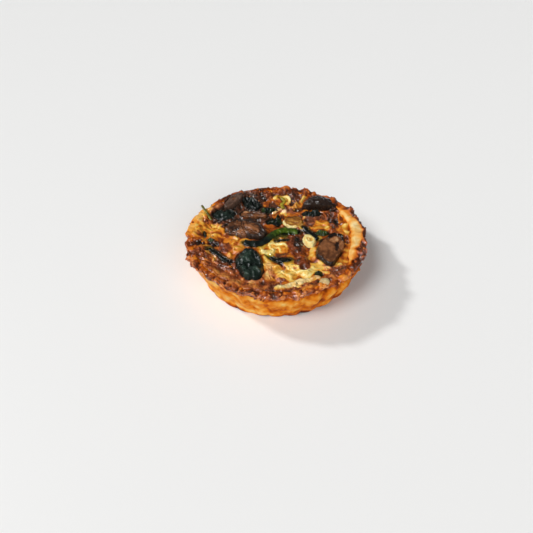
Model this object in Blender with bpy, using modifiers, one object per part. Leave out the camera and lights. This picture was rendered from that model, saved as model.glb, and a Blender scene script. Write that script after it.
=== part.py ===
"""A small hand-made quiche: a fluted pastry case, baked custard, and what lies on the custard.

Metres, +Z up, +X to the right and +Y to the back. The origin is the middle of the flat underside.
"""

import math

import bmesh
import bpy
from mathutils import Vector, noise

MM = 0.001

# The case. It is a little oval and its rim leans: highest at the front, lowest at the back.
RIM_RADIUS = 55.6 * MM  # side to side, to the middle of the flutes
FOOT_RADIUS = 47.6 * MM
RIM_HEIGHT = 25.0 * MM
RIM_LEAN = 3.0 * MM
DEPTH_SHARE = 0.93  # front to back, over side to side
WALL_AT_RIM = 4.4 * MM
WALL_AT_FOOT = 5.2 * MM
FLOOR = 4.0 * MM
FLUTES = 30
FLUTE_DEPTH = 1.7 * MM
FLUTE_STEPS = 6
BEAD_HEIGHT = 6.0 * MM  # how far down the wall the browned bead of the rim reaches
BEAD_OUT = 1.1 * MM
CRAG = 1.5 * MM  # the roughness of the rim

# Stretches of rim that stand out or draw in: angle and half-width in degrees, and how far.
RIM_SWELLS = (
    (33, 15, 2.4 * MM),
    (140, 14, -1.4 * MM),
    (165, 9, 0.9 * MM),
    (262, 12, 1.0 * MM),
)

# The custard.
CUSTARD_DROP = 3.2 * MM  # from the rim down to the middle of the custard
EDGE_RISE = 2.3 * MM  # how far the custard climbs where it was baked onto the case
PALE_SIDE = 6  # degrees: here the custard has drawn away, and the bare pastry shows
PALE_DROP = 1.0 * MM
SWELL = 1.2 * MM
LUMP = 1.9 * MM
BLISTER = ((14.4, -14.0), (6.4, 12.0), -10)  # a puffed, browned patch: place, half sizes, turn
BLISTER_HEIGHT = 1.8 * MM
MARGIN = 3.2 * MM  # the custard lies calm this far round each topping
FADE = 3.0 * MM

GAP = 0.4 * MM  # between two pieces that touch in the real quiche
LEAF_THICKNESS = 0.7 * MM
RING_RIDGE = 0.25 * MM  # how far the rings of an onion slice stand out
SHRED_ANGLE = 148  # degrees: a leek shred lies over the rim here

# Slices and lumps: place, half sizes, turn in degrees, thickness, wrinkle, and rings if they show.
SLABS = {
    "mushroom_left": ((-19.5, 8.2), (13.6, 9.0), -10, 3.6, 0.5, 0),
    "mushroom_right": ((33.2, -10.2), (13.4, 8.4), 77, 3.8, 0.5, 0),
    "mushroom_cap_back": ((27.0, 32.0), (9.6, 5.6), -28, 4.6, 0.4, 0),
    "mushroom_back_left": ((-27.6, 34.6), (7.2, 3.5), 54, 3.6, 0.6, 0),
    "mushroom_middle": ((-14.0, 22.6), (8.2, 3.3), 4, 3.0, 0.6, 0),
    "onion_slice": ((11.4, 17.2), (6.9, 5.8), -4, 2.6, 0.2, 3),
    "cheese_curd": ((20.6, -4.2), (4.1, 5.0), 12, 3.8, 0.3, 0),
    "onion_lump_front": ((26.6, -37.0), (3.2, 2.6), 30, 3.0, 0.2, 0),
}

# Spinach leaves: place, half sizes, turn, how high they crumple, and how square they are.
LEAVES = {
    "spinach_front": ((-16.0, -24.3), (8.4, 12.6), 6, 3.4, 0.5),
    "spinach_centre": ((-0.9, 17.0), (5.0, 3.6), 28, 2.6, 0.1),
    "spinach_middle": ((-3.6, 28.4), (6.0, 2.2), 6, 2.2, 0.2),
    "spinach_back_left": ((-15.6, 34.6), (7.2, 4.2), -48, 3.2, 0.2),
    "spinach_far_left": ((-34.6, 21.8), (6.6, 3.8), 24, 2.8, 0.2),
    "spinach_back_right": ((22.6, 24.0), (6.4, 2.6), -6, 2.4, 0.1),
    "spinach_right": ((29.6, 5.2), (4.4, 2.1), -8, 1.8, 0.1),
    "spinach_bit_front": ((24.6, -31.0), (2.3, 2.1), 20, 1.4, 0.6),
    "spinach_bit_left": ((-45.0, 4.4), (1.3, 3.2), 10, 1.2, 0.1),
    "spinach_bit_left_low": ((-40.4, -1.2), (2.5, 1.1), 4, 1.0, 0.1),
}

# Stalks and strips that lie along a path on the custard: half thickness, then the path.
STRIPS = {
    "spinach_stem": (1.6, ((-19.5, -4.4), (-15.0, -5.2), (-10.2, -5.0), (-6.4, -2.4), (-3.4, 1.6), (0.2, 5.4),
                            (4.4, 7.4), (9.2, 7.2), (14.0, 6.0))),
    "spinach_strip_right": (1.3, ((18.4, 10.6), (20.6, 6.6), (23.6, 2.6), (26.0, -0.6))),
    "spinach_strip_front": (1.2, ((-3.6, -17.4), (-0.4, -19.8), (3.6, -21.0), (7.6, -20.8))),
    "spinach_strip_left": (1.25, ((-41.0, -9.6), (-37.0, -13.2), (-33.0, -17.4), (-29.0, -20.6))),
    "leek_back": (1.5, ((5.4, 30.4), (4.4, 34.6), (6.2, 38.6), (4.2, 42.4))),
}

# The shred that lies over the rim: half thickness, and its path as share of the rim's radius and lift.
SHRED_HALF = 0.8 * MM
SHRED_PATH = ((0.87, 1.2), (0.91, 2.2), (0.95, 3.4), (0.99, 3.7), (1.05, 3.2))

# Each kind of food: its colour and roughness.
FINISHES = {
    "crust": ((0.62, 0.30, 0.09), 0.6),
    "custard": ((0.83, 0.58, 0.16), 0.35),
    "mushroom": ((0.16, 0.07, 0.035), 0.5),
    "spinach": ((0.012, 0.03, 0.018), 0.35),
    "onion": ((0.70, 0.50, 0.22), 0.45),
    "cheese": ((0.86, 0.70, 0.30), 0.35),
    "leek": ((0.42, 0.42, 0.12), 0.4),
}


def smooth_step(low, high, value):
    share = min(1.0, max(0.0, (value - low) / (high - low)))
    return share * share * (3 - 2 * share)


def lean(y):
    """How much the rim stands above its mean height, this far from front to back."""
    return -RIM_LEAN * y / (RIM_RADIUS * DEPTH_SHARE)


def reach(x, y):
    """0 in the middle of the quiche and 1 at its rim."""
    return math.hypot(x, y / DEPTH_SHARE) / RIM_RADIUS


def outer_radius(height):
    return FOOT_RADIUS + (RIM_RADIUS - FOOT_RADIUS) * height / RIM_HEIGHT


def inner_radius(height):
    share = height / RIM_HEIGHT
    return outer_radius(height) - WALL_AT_FOOT - (WALL_AT_RIM - WALL_AT_FOOT) * share


def lumps(point, size):
    """Rounded lumps of about this size, from 0 in the creases between them to 1 on their tops."""
    distances, _ = noise.voronoi(point / size, distance_metric="DISTANCE", exponent=2.5)
    return max(0.0, 1 - 1.3 * distances[0]) ** 0.8


def angle_apart(angle, degrees):
    """Degrees between two directions, at most 180."""
    return abs((math.degrees(angle) - degrees + 180) % 360 - 180)


def flute(angle):
    """Rounded lobes outward with a crease between them, uneven as hand-pressed dough is."""
    drift = 0.03 * noise.noise(Vector((math.cos(angle), math.sin(angle), 3.1)) * 2.2)
    lobe = abs(math.sin(FLUTES * (angle + drift) / 2)) ** 0.8
    strength = 1 + 0.45 * noise.noise(Vector((math.cos(angle), math.sin(angle), 7.7)) * 3.0)
    return FLUTE_DEPTH * strength * (lobe - 0.62)


def rim_swell(angle):
    total = 0.0
    for at, width, amount in RIM_SWELLS:
        total += amount * math.exp(-((angle_apart(angle, at) / width) ** 2))
    return total


def case_point(place):
    """Where a point of the plain turned case goes once the case is fluted, browned and settled."""
    radius = math.hypot(place.x, place.y)
    angle = math.atan2(place.y, place.x)
    height = place.z
    inside = inner_radius(height)
    outward = smooth_step(inside, outer_radius(height), radius)
    on_side = smooth_step(0.72 * FOOT_RADIUS, 0.96 * FOOT_RADIUS, radius)
    bead = smooth_step(RIM_HEIGHT - BEAD_HEIGHT, RIM_HEIGHT - 0.35 * BEAD_HEIGHT, height)
    calm = smooth_step(4, 9, angle_apart(angle, SHRED_ANGLE))
    rough = lumps(place, 4.2 * MM) - 0.4 + 0.7 * noise.noise(place / (2.6 * MM))
    dent = 0.35 * MM * noise.noise(place / (7 * MM))

    out = outward * on_side * (flute(angle) + dent)
    out += bead * outward * (BEAD_OUT + rim_swell(angle) + calm * CRAG * rough)
    up = bead * (0.35 + 0.65 * outward) * calm * CRAG * 0.75 * rough
    up += bead * 0.8 * MM * noise.noise(Vector((math.cos(angle), math.sin(angle), 1.3)) * 4.0)

    y = (radius + out) * math.sin(angle) * DEPTH_SHARE
    settled = height * (RIM_HEIGHT + lean(y)) / RIM_HEIGHT
    if radius < inside + 0.01 * MM and height < FLOOR + 0.01 * MM:
        settled = height
    return Vector(((radius + out) * math.cos(angle), y, settled + up))


def custard_plane(y):
    """The level that the toppings rest on."""
    return (RIM_HEIGHT - CUSTARD_DROP) * (RIM_HEIGHT + lean(y)) / RIM_HEIGHT


def distance_to_oval(x, y, place, half, turn):
    """Metres from an oval's edge, negative inside it."""
    away = Vector((x - place[0] * MM, y - place[1] * MM))
    spin = math.radians(turn)
    along = (away.x * math.cos(spin) + away.y * math.sin(spin)) / (half[0] * MM)
    across = (away.y * math.cos(spin) - away.x * math.sin(spin)) / (half[1] * MM)
    share = math.hypot(along, across)
    return (share - 1) * away.length / share if share > 1e-6 else -min(half) * MM


def distance_to_path(x, y, path):
    nearest = 1.0
    point = Vector((x, y))
    for start, end in zip(path, path[1:]):
        first = Vector(start) * MM
        step = Vector(end) * MM - first
        share = min(1.0, max(0.0, (point - first).dot(step) / step.length_squared))
        nearest = min(nearest, (point - first - step * share).length)
    return nearest


def open_custard(x, y):
    """1 on bare custard, and 0 under a topping and close round it, where the custard lies level."""
    gaps = [distance_to_oval(x, y, row[0], row[1], row[2]) for row in (*SLABS.values(), *LEAVES.values())]
    gaps += [distance_to_path(x, y, path) - half * MM for half, path in STRIPS.values()]
    return smooth_step(MARGIN, MARGIN + FADE, min(gaps))


def custard_height(x, y):
    place = Vector((x, y, 0))
    angle = math.atan2(y / DEPTH_SHARE, x)
    baked_on = smooth_step(24, 50, angle_apart(angle, PALE_SIDE))
    swell = SWELL * noise.noise(place / (13 * MM))
    relief = swell + LUMP * (lumps(place + Vector((0, 0, 2 * MM)), 6.5 * MM) - 0.3)
    relief += BLISTER_HEIGHT * smooth_step(1 * MM, -3 * MM, distance_to_oval(x, y, *BLISTER))
    rim = smooth_step(0.78, 0.89, reach(x, y))
    rise = (EDGE_RISE + PALE_DROP) * baked_on - PALE_DROP
    return custard_plane(y) + open_custard(x, y) * (relief * (1 - 0.7 * rim) + rise * rim)


def custard_point(place):
    """Where a point of the plain turned custard goes."""
    y = place.y * DEPTH_SHARE
    if place.z > RIM_HEIGHT - CUSTARD_DROP - 0.01 * MM:
        height = custard_height(place.x, y)
        slope = (inner_radius(RIM_HEIGHT) - inner_radius(0)) / RIM_HEIGHT
        follow = slope * smooth_step(0.8, 0.9, reach(place.x, y))
        spread = 1 + follow * (height - custard_plane(y)) / RIM_RADIUS
        return Vector((place.x * spread, y * spread, height))
    if place.z < FLOOR + GAP + 0.01 * MM:
        return Vector((place.x, y, place.z))
    return Vector((place.x, y, place.z * (RIM_HEIGHT + lean(y)) / RIM_HEIGHT))


def material(kind):
    found = bpy.data.materials.get(kind)
    if found:
        return found
    made = bpy.data.materials.new(kind)
    made.use_nodes = True
    shader = made.node_tree.nodes["Principled BSDF"]
    colour, roughness = FINISHES[kind]
    shader.inputs["Base Color"].default_value = (*colour, 1)
    shader.inputs["Roughness"].default_value = roughness
    shader.inputs["Metallic"].default_value = 0.0
    return made


def finish(obj, kind, collection):
    obj.data.materials.clear()
    obj.data.materials.append(material(kind))
    for linked in list(obj.users_collection):
        linked.objects.unlink(obj)
    collection.objects.link(obj)
    if obj.type == "MESH":
        obj.data.shade_smooth()
        obj.data.set_sharp_from_angle(angle=math.radians(50))
    return obj


def solid_mesh(obj):
    """The mesh that the object's modifiers make, with its seam and poles welded."""
    mesh = bpy.data.meshes.new_from_object(obj.evaluated_get(bpy.context.evaluated_depsgraph_get()))
    work = bmesh.new()
    work.from_mesh(mesh)
    bmesh.ops.remove_doubles(work, verts=work.verts, dist=0.001 * MM)
    work.to_mesh(mesh)
    work.free()
    return mesh


def turned(name, profile, steps, place_point, kind, collection):
    """A profile of (radius, height) turned about Z, with each of its points then put in place."""
    mesh = bpy.data.meshes.new(name + "_profile")
    edges = [(row, row + 1) for row in range(len(profile) - 1)]
    mesh.from_pydata([(radius, 0, height) for radius, height in profile], edges, [])
    guide = bpy.data.objects.new(name + "_profile", mesh)
    collection.objects.link(guide)
    screw = guide.modifiers.new("Turn", "SCREW")
    screw.axis = "Z"
    screw.angle = 2 * math.pi
    screw.steps = screw.render_steps = steps
    screw.use_merge_vertices = True
    screw.merge_threshold = 0.01 * MM
    bpy.context.view_layer.update()
    turned_mesh = solid_mesh(guide)
    bpy.data.objects.remove(guide)
    for vertex in turned_mesh.vertices:
        vertex.co = place_point(vertex.co)
    turned_mesh.name = name
    return finish(bpy.data.objects.new(name, turned_mesh), kind, collection)


def evenly(first, last, count):
    """The points between two corners of a profile, with the first and without the last."""
    steps = [row / count for row in range(count)]
    return [tuple(a + (b - a) * share for a, b in zip(first, last)) for share in steps]


def make_crust(collection):
    """The pastry case, from the middle of its floor up the inside, over the rim and down the outside."""
    rim_in = (inner_radius(RIM_HEIGHT), RIM_HEIGHT - 0.8 * MM)
    rim_top_in = (rim_in[0] + 1.2 * MM, RIM_HEIGHT)
    rim_top_out = (RIM_RADIUS - 1.0 * MM, RIM_HEIGHT)
    rim_out = (RIM_RADIUS, RIM_HEIGHT - 1.0 * MM)
    under_bead = (outer_radius(RIM_HEIGHT - BEAD_HEIGHT), RIM_HEIGHT - BEAD_HEIGHT)
    foot_up = (outer_radius(1.2 * MM), 1.2 * MM)
    foot = (FOOT_RADIUS - 1.2 * MM, 0.0)
    inner_foot = (inner_radius(FLOOR), FLOOR)
    profile = [(0.0, FLOOR)]
    profile += evenly(inner_foot, rim_in, 3)
    profile += [rim_in]
    profile += evenly(rim_top_in, rim_top_out, 2)
    profile += [rim_top_out]
    profile += evenly(rim_out, under_bead, 3)
    profile += evenly(under_bead, foot_up, 4)
    profile += [foot_up, foot, (0.72 * FOOT_RADIUS, 0.0), (0.0, 0.0)]
    return turned("pastry_crust", profile, FLUTES * FLUTE_STEPS, case_point, "crust", collection)


def make_custard(collection):
    """The custard, from the middle of its top out to the case and down the inside of the case."""
    level = RIM_HEIGHT - CUSTARD_DROP
    edge = (inner_radius(level) - 2 * GAP, level)
    under = FLOOR + GAP
    shoulder = (inner_radius(level - 2.5 * MM) - 1.5 * GAP, level - 2.5 * MM)
    bottom = (inner_radius(under) - 2 * GAP, under)
    profile = evenly((0.0, level), edge, 17) + [edge, shoulder, bottom, (0.0, under)]
    return turned("custard_filling", profile, 78, custard_point, "custard", collection)


def on_custard(place, turn, x, y, height):
    """A point given in a topping's own frame, put on the custard's level."""
    spin = math.radians(turn)
    world_x = place[0] * MM + x * math.cos(spin) - y * math.sin(spin)
    world_y = place[1] * MM + x * math.sin(spin) + y * math.cos(spin)
    return Vector((world_x, world_y, custard_plane(world_y) + GAP + height))


def make_slab(name, place, half, turn, thick, wrinkle, rings, kind, collection):
    """A slice or lump: a flat underside, an edge about half its thickness high, and a low domed top."""
    work = bmesh.new()
    big = max(half) > 8
    bmesh.ops.create_uvsphere(work, u_segments=20 if big else 14, v_segments=10 if big else 8, radius=1)
    for vertex in work.verts:
        x, y, z = vertex.co
        around = math.atan2(y, x)
        edge = 1 + 0.06 * noise.noise(Vector((math.cos(around) * 1.6, math.sin(around) * 1.6, len(name))))
        height = 0.0
        if z > -1e-4:
            height = thick * MM * (0.5 + 0.5 * math.sqrt(max(0.0, z)))
            seat = Vector((x * half[0], y * half[1], len(name) * 3.0)) / 3.2
            height += wrinkle * MM * noise.noise(seat)
            if rings:
                height += RING_RIDGE * math.cos(rings * 2 * math.pi * math.hypot(x, y))
        vertex.co = on_custard(place, turn, x * half[0] * MM * edge, y * half[1] * MM * edge, height)
    mesh = bpy.data.meshes.new(name)
    work.to_mesh(mesh)
    work.free()
    return finish(bpy.data.objects.new(name, mesh), kind, collection)


def make_leaf(name, place, half, turn, crumple, square, collection):
    """A thin wavy leaf that touches the custard in places, thickened by Solidify."""
    work = bmesh.new()
    count = 9 if max(half) > 7 else (7 if max(half) > 4 else 5)
    bmesh.ops.create_grid(work, x_segments=count, y_segments=count, size=1)
    for vertex in work.verts:
        u, v = vertex.co.x, vertex.co.y
        round_off = 1 - square
        x = u * (1 - round_off * (1 - math.sqrt(1 - v * v / 2)))
        y = v * (1 - round_off * (1 - math.sqrt(1 - u * u / 2)))
        ragged = 1 + 0.10 * noise.noise(Vector((x, y, len(name))) * 2.4)
        wave = 0.5 + 0.9 * noise.noise(Vector((x * half[0], y * half[1], len(name) * 2.0)) / 3.4)
        tucked = 1 - 0.75 * max(abs(u), abs(v)) ** 4
        height = crumple * MM * max(0.0, min(1.0, wave)) * tucked
        vertex.co = on_custard(place, turn, x * half[0] * MM * ragged, y * half[1] * MM * ragged, height)
    bmesh.ops.triangulate(work, faces=work.faces)
    mesh = bpy.data.meshes.new(name)
    work.to_mesh(mesh)
    work.free()
    leaf = bpy.data.objects.new(name, mesh)
    finish(leaf, "spinach", collection)
    thick = leaf.modifiers.new("Thickness", "SOLIDIFY")
    thick.thickness = LEAF_THICKNESS
    thick.offset = 1
    return leaf


def smooth_route(points, steps):
    """Points along a smooth curve through the given ones."""
    padded = [points[0] * 2 - points[1], *points, points[-1] * 2 - points[-2]]
    route = []
    for row in range(1, len(padded) - 2):
        before, start, end, after = padded[row - 1 : row + 3]
        for step in range(steps):
            t = step / steps
            route.append(
                0.5
                * (
                    2 * start
                    + (end - before) * t
                    + (2 * before - 5 * start + 4 * end - after) * t * t
                    + (3 * start - before - 3 * end + after) * t * t * t
                )
            )
    return [*route, points[-1]]


def make_strip(name, half, route, kind, collection):
    """A stalk or strip along a route, thick in the middle and thin at its ends."""
    curve = bpy.data.curves.new(name, "CURVE")
    curve.dimensions = "3D"
    curve.bevel_depth = half
    curve.bevel_resolution = 2
    curve.use_fill_caps = True
    spline = curve.splines.new("POLY")
    spline.points.add(len(route) - 1)
    for row, point in enumerate(route):
        share = row / (len(route) - 1)
        spline.points[row].co = (*point, 1)
        spline.points[row].radius = 0.45 + 0.55 * math.sin(math.pi * share) ** 0.5
    return finish(bpy.data.objects.new(name, curve), kind, collection)


def make_shred(collection):
    """A leek shred that lies on the custard and leads out over the rim."""
    spin = math.radians(SHRED_ANGLE)
    route = []
    for share_out, lift in SHRED_PATH:
        x = RIM_RADIUS * share_out * math.cos(spin)
        y = RIM_RADIUS * DEPTH_SHARE * share_out * math.sin(spin)
        route.append(Vector((x, y, custard_plane(y) + GAP + SHRED_HALF + lift * MM)))
    return make_strip("leek_shred", SHRED_HALF, smooth_route(route, 3), "leek", collection)


def build():
    for obj in list(bpy.data.objects):
        bpy.data.objects.remove(obj)
    quiche = bpy.data.collections.new("Quiche")
    bpy.context.scene.collection.children.link(quiche)
    make_crust(quiche)
    make_custard(quiche)
    for name, (place, half, turn, thick, wrinkle, rings) in SLABS.items():
        kind = name.split("_")[0]
        make_slab(name, place, half, turn, thick, wrinkle, rings, kind, quiche)
    for name, (place, half, turn, crumple, square) in LEAVES.items():
        make_leaf(name, place, half, turn, crumple, square, quiche)
    for name, (half, path) in STRIPS.items():
        seats = [Vector((x, y, 0)) * MM for x, y in path]
        for seat in seats:
            seat.z = custard_plane(seat.y) + GAP + half * MM
        kind = name.split("_")[0]
        make_strip(name, half * MM, smooth_route(seats, 2), kind, quiche)
    make_shred(quiche)


build()
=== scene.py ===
import math

import bmesh
import bpy
import numpy as np
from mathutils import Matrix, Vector, noise


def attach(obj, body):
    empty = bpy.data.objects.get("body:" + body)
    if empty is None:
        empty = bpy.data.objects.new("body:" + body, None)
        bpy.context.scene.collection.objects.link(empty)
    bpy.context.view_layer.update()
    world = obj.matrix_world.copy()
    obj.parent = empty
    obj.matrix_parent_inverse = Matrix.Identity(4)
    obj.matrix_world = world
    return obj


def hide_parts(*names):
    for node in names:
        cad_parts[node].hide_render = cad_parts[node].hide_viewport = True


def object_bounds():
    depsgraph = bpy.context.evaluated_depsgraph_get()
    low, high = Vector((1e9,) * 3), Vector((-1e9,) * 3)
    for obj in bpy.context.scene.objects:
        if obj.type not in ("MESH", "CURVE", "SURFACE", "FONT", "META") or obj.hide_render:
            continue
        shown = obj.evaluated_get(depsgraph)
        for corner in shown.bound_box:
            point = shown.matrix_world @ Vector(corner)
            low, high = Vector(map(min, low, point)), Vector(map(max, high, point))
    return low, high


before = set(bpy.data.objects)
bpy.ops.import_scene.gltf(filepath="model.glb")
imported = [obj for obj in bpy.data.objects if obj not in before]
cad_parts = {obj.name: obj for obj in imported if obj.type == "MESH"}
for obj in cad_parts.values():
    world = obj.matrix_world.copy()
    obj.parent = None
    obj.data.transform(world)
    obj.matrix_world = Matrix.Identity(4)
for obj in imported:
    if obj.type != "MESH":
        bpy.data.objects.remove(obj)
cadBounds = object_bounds()

# Lengths are millimetres until a mesh is made. +X is right, +Y is away from the camera, +Z is up.
mm = 0.001
fullTurn = 2 * math.pi
made = []  # every finished piece, for the closing note
noise.seed_set(2)  # the same quiche every time


# Small helpers: numbers

def smoothStep(low, high, value):
    share = np.clip((value - low) / (high - low), 0, 1)
    return share * share * (3 - 2 * share)


def sampled(points, size, how, seed=0):
    # how is asked at every point, on a pattern of this size
    shift = Vector((seed * 3.17, seed * 7.73, seed * 5.19))
    return np.array([how(Vector(point) / size + shift) for point in points.tolist()])


def softNoise(points, size, seed=0):
    return sampled(points, size, noise.noise, seed)


def cloud(points, size, seed=0, octaves=4):
    # uneven patches with finer ones in them, about -0.8 to 0.8
    return sampled(points, size, lambda at: noise.fractal(at, 0.9, 2.1, octaves), seed)


def pebbles(points, size, seed=0):
    # uneven lumps packed together: how near the middle of its lump each point is, 0 in the creases, and each
    # lump's own chance from -1 to 1
    def lump(at):
        near, spots = noise.voronoi(at + 0.35 * noise.noise_vector(at * 1.1))
        return min(1.0, 1.8 * (near[1] - near[0])) ** 0.6, noise.cell(spots[0] * 23.7)
    return sampled(points, size, lump, seed).T


def ridges(points, size, seed=0, octaves=1):
    # 1 on soft crests, falling to 0 between them
    crossing = sampled(points, size, lambda at: noise.fractal(at, 0.8, 2.2, octaves), seed)
    return np.exp(-((3.2 * crossing) ** 2))


def around(angle, table):
    # a value given at some directions, in degrees, blended in between
    return np.interp(np.degrees(angle), *zip(*table), period=360)


def smoothPath(points, closed=False, steps=8):
    route = np.array(points, float)
    if closed:
        padded = np.vstack([route[-1:], route, route[:2]])
    else:
        padded = np.vstack([2 * route[0] - route[1], route, 2 * route[-1] - route[-2]])
    t = np.arange(steps)[:, None] / steps
    parts = []
    for before, start, end, after in zip(padded, padded[1:], padded[2:], padded[3:]):
        bend = 2 * before - 5 * start + 4 * end - after
        twist = 3 * start - before - 3 * end + after
        parts.append(0.5 * (2 * start + (end - before) * t + bend * t**2 + twist * t**3))
    return np.vstack(parts if closed else [*parts, route[-1:]])


def pathDistance(x, y, path):
    nearest = np.full(np.shape(x), 1e9)
    for (startX, startY), (endX, endY) in zip(path, path[1:]):
        stepX, stepY = endX - startX, endY - startY
        share = ((x - startX) * stepX + (y - startY) * stepY) / (stepX**2 + stepY**2)
        share = np.clip(share, 0, 1)
        nearest = np.minimum(nearest, np.hypot(x - startX - stepX * share, y - startY - stepY * share))
    return nearest


# Small helpers: meshes and nodes

def addNode(tree, kind, inputs=None, **settings):
    node = tree.nodes.new(kind)
    for key, value in settings.items():
        setattr(node, key, value)
    for key, value in (inputs or {}).items():
        if isinstance(value, bpy.types.NodeSocket):
            tree.links.new(value, node.inputs[key])
        else:
            node.inputs[key].default_value = value
    return node


def calc(tree, operation, *values):
    return addNode(tree, "ShaderNodeMath", dict(enumerate(values)), operation=operation).outputs[0]


def roundGrid(count):
    # a square grid pressed into a round one, so that it is even and has no pole
    side = np.linspace(-1, 1, count)
    a, b = (part.ravel() for part in np.meshgrid(side, side))
    wide = np.abs(a) > np.abs(b)
    reach = np.where(wide, a, b)
    other = np.where(wide, b, a)
    lean = math.pi / 4 * other / np.where(reach == 0, 1, reach)
    x = reach * np.where(wide, np.cos(lean), np.sin(lean))
    y = reach * np.where(wide, np.sin(lean), np.cos(lean))
    corner = (np.arange(count - 1)[:, None] * count + np.arange(count - 1)).ravel()
    faces = np.stack([corner, corner + 1, corner + count + 1, corner + count], axis=1)
    last = count - 1
    row = np.arange(last)
    loop = np.concatenate([row, last + row * count, last * count + last - row, (last - row) * count])
    return x, y, faces, loop


def closeBelow(points, faces, loop, drop, inward):
    # a skirt down from the loop, and a fan across its bottom
    rim = points[loop]
    middle = rim.mean(axis=0)
    low = rim + (middle - rim) * [inward, inward, 0] - [0, 0, drop]
    bottom = low.mean(axis=0)[None]
    first = len(points)
    count = len(loop)
    here = np.arange(count)
    there = (here + 1) % count
    skirt = np.stack([loop[there], loop[here], first + here, first + there], axis=1)
    fan = np.stack([first + there, first + here, np.full(count, first + count)], axis=1)
    return np.vstack([points, low, bottom]), [*faces.tolist(), *skirt.tolist(), *fan.tolist()]


def placed(name, data):
    thing = bpy.data.objects.new(name, data)
    bpy.context.scene.collection.objects.link(thing)
    return thing


def pointsOf(mesh):
    points = np.empty(len(mesh.vertices) * 3)
    mesh.vertices.foreach_get("co", points)
    return points.reshape(-1, 3) / mm


def setPoints(mesh, points):
    mesh.vertices.foreach_set("co", (points * mm).ravel())


def setFields(mesh, fields):
    for field, values in fields.items():
        mesh.attributes.new(field, "FLOAT", "POINT").data.foreach_set("value", values.astype(np.float32))


def makePiece(name, points, faces, finish, **fields):
    # the points of a hidden underside come last, and take the mean of each field
    mesh = bpy.data.meshes.new(name)
    mesh.from_pydata((points * mm).tolist(), [], faces if isinstance(faces, list) else faces.tolist())
    for field, values in fields.items():
        fields[field] = np.concatenate([values, np.full(len(points) - len(values), np.mean(values))])
    setFields(mesh, fields)
    mesh.materials.append(finish)
    return pieceOf(name, mesh)


def pieceOf(name, mesh):
    mesh.name = name
    mesh.shade_smooth()
    return placed(name, mesh)


def dress(piece, slot, *nodes):
    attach(piece, "root")
    if nodes:
        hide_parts(*nodes)
    made.append(piece)
    return piece


def newTree(name, *wanted):
    # an empty geometry tree with named inputs and one geometry output
    tree = bpy.data.node_groups.new(name, "GeometryNodeTree")
    for label, kind in wanted:
        tree.interface.new_socket(label, in_out="INPUT", socket_type="NodeSocket" + kind)
    tree.interface.new_socket("Result", in_out="OUTPUT", socket_type="NodeSocketGeometry")
    return tree, addNode(tree, "NodeGroupInput").outputs


def stored(tree, geometry, name, value, domain="POINT"):
    inputs = {"Geometry": geometry, "Name": name, "Value": value}
    return addNode(tree, "GeometryNodeStoreNamedAttribute", inputs, data_type="FLOAT",
                   domain=domain).outputs[0]


def endTree(tree, geometry, finish):
    plain = addNode(tree, "GeometryNodeRealizeInstances", {0: geometry})
    coated = addNode(tree, "GeometryNodeSetMaterial", {"Geometry": plain.outputs[0], "Material": finish})
    addNode(tree, "NodeGroupOutput", {0: coated.outputs[0]})


def grownMesh(tree, settings):
    # the plain mesh that a tree makes with these settings
    host = placed("host", bpy.data.meshes.new("host"))
    growth = host.modifiers.new("growth", "NODES")
    growth.node_group = tree
    for socket in tree.interface.items_tree:
        if socket.in_out == "INPUT" and socket.name in settings:
            growth[socket.identifier] = settings[socket.name]
    bpy.context.view_layer.update()
    mesh = bpy.data.meshes.new_from_object(host.evaluated_get(bpy.context.evaluated_depsgraph_get()))
    bpy.data.objects.remove(host)
    return mesh


# Finishes: each colour is the usual red, green and blue from 0 to 255

def srgb(red, green, blue):
    parts = [part / 255 for part in (red, green, blue)]
    return (*(part / 12.92 if part < 0.04045 else ((part + 0.055) / 1.055) ** 2.4 for part in parts), 1)


def colourRamp(tree, stops, tone):
    ramp = addNode(tree, "ShaderNodeValToRGB", {0: tone})
    elements = ramp.color_ramp.elements
    elements[0].position, elements[1].position = stops[0][0], stops[-1][0]
    elements[0].color, elements[1].color = srgb(*stops[0][1]), srgb(*stops[-1][1])
    for at, colour in stops[1:-1]:
        elements.new(at).color = srgb(*colour)
    return ramp.outputs[0]


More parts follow.
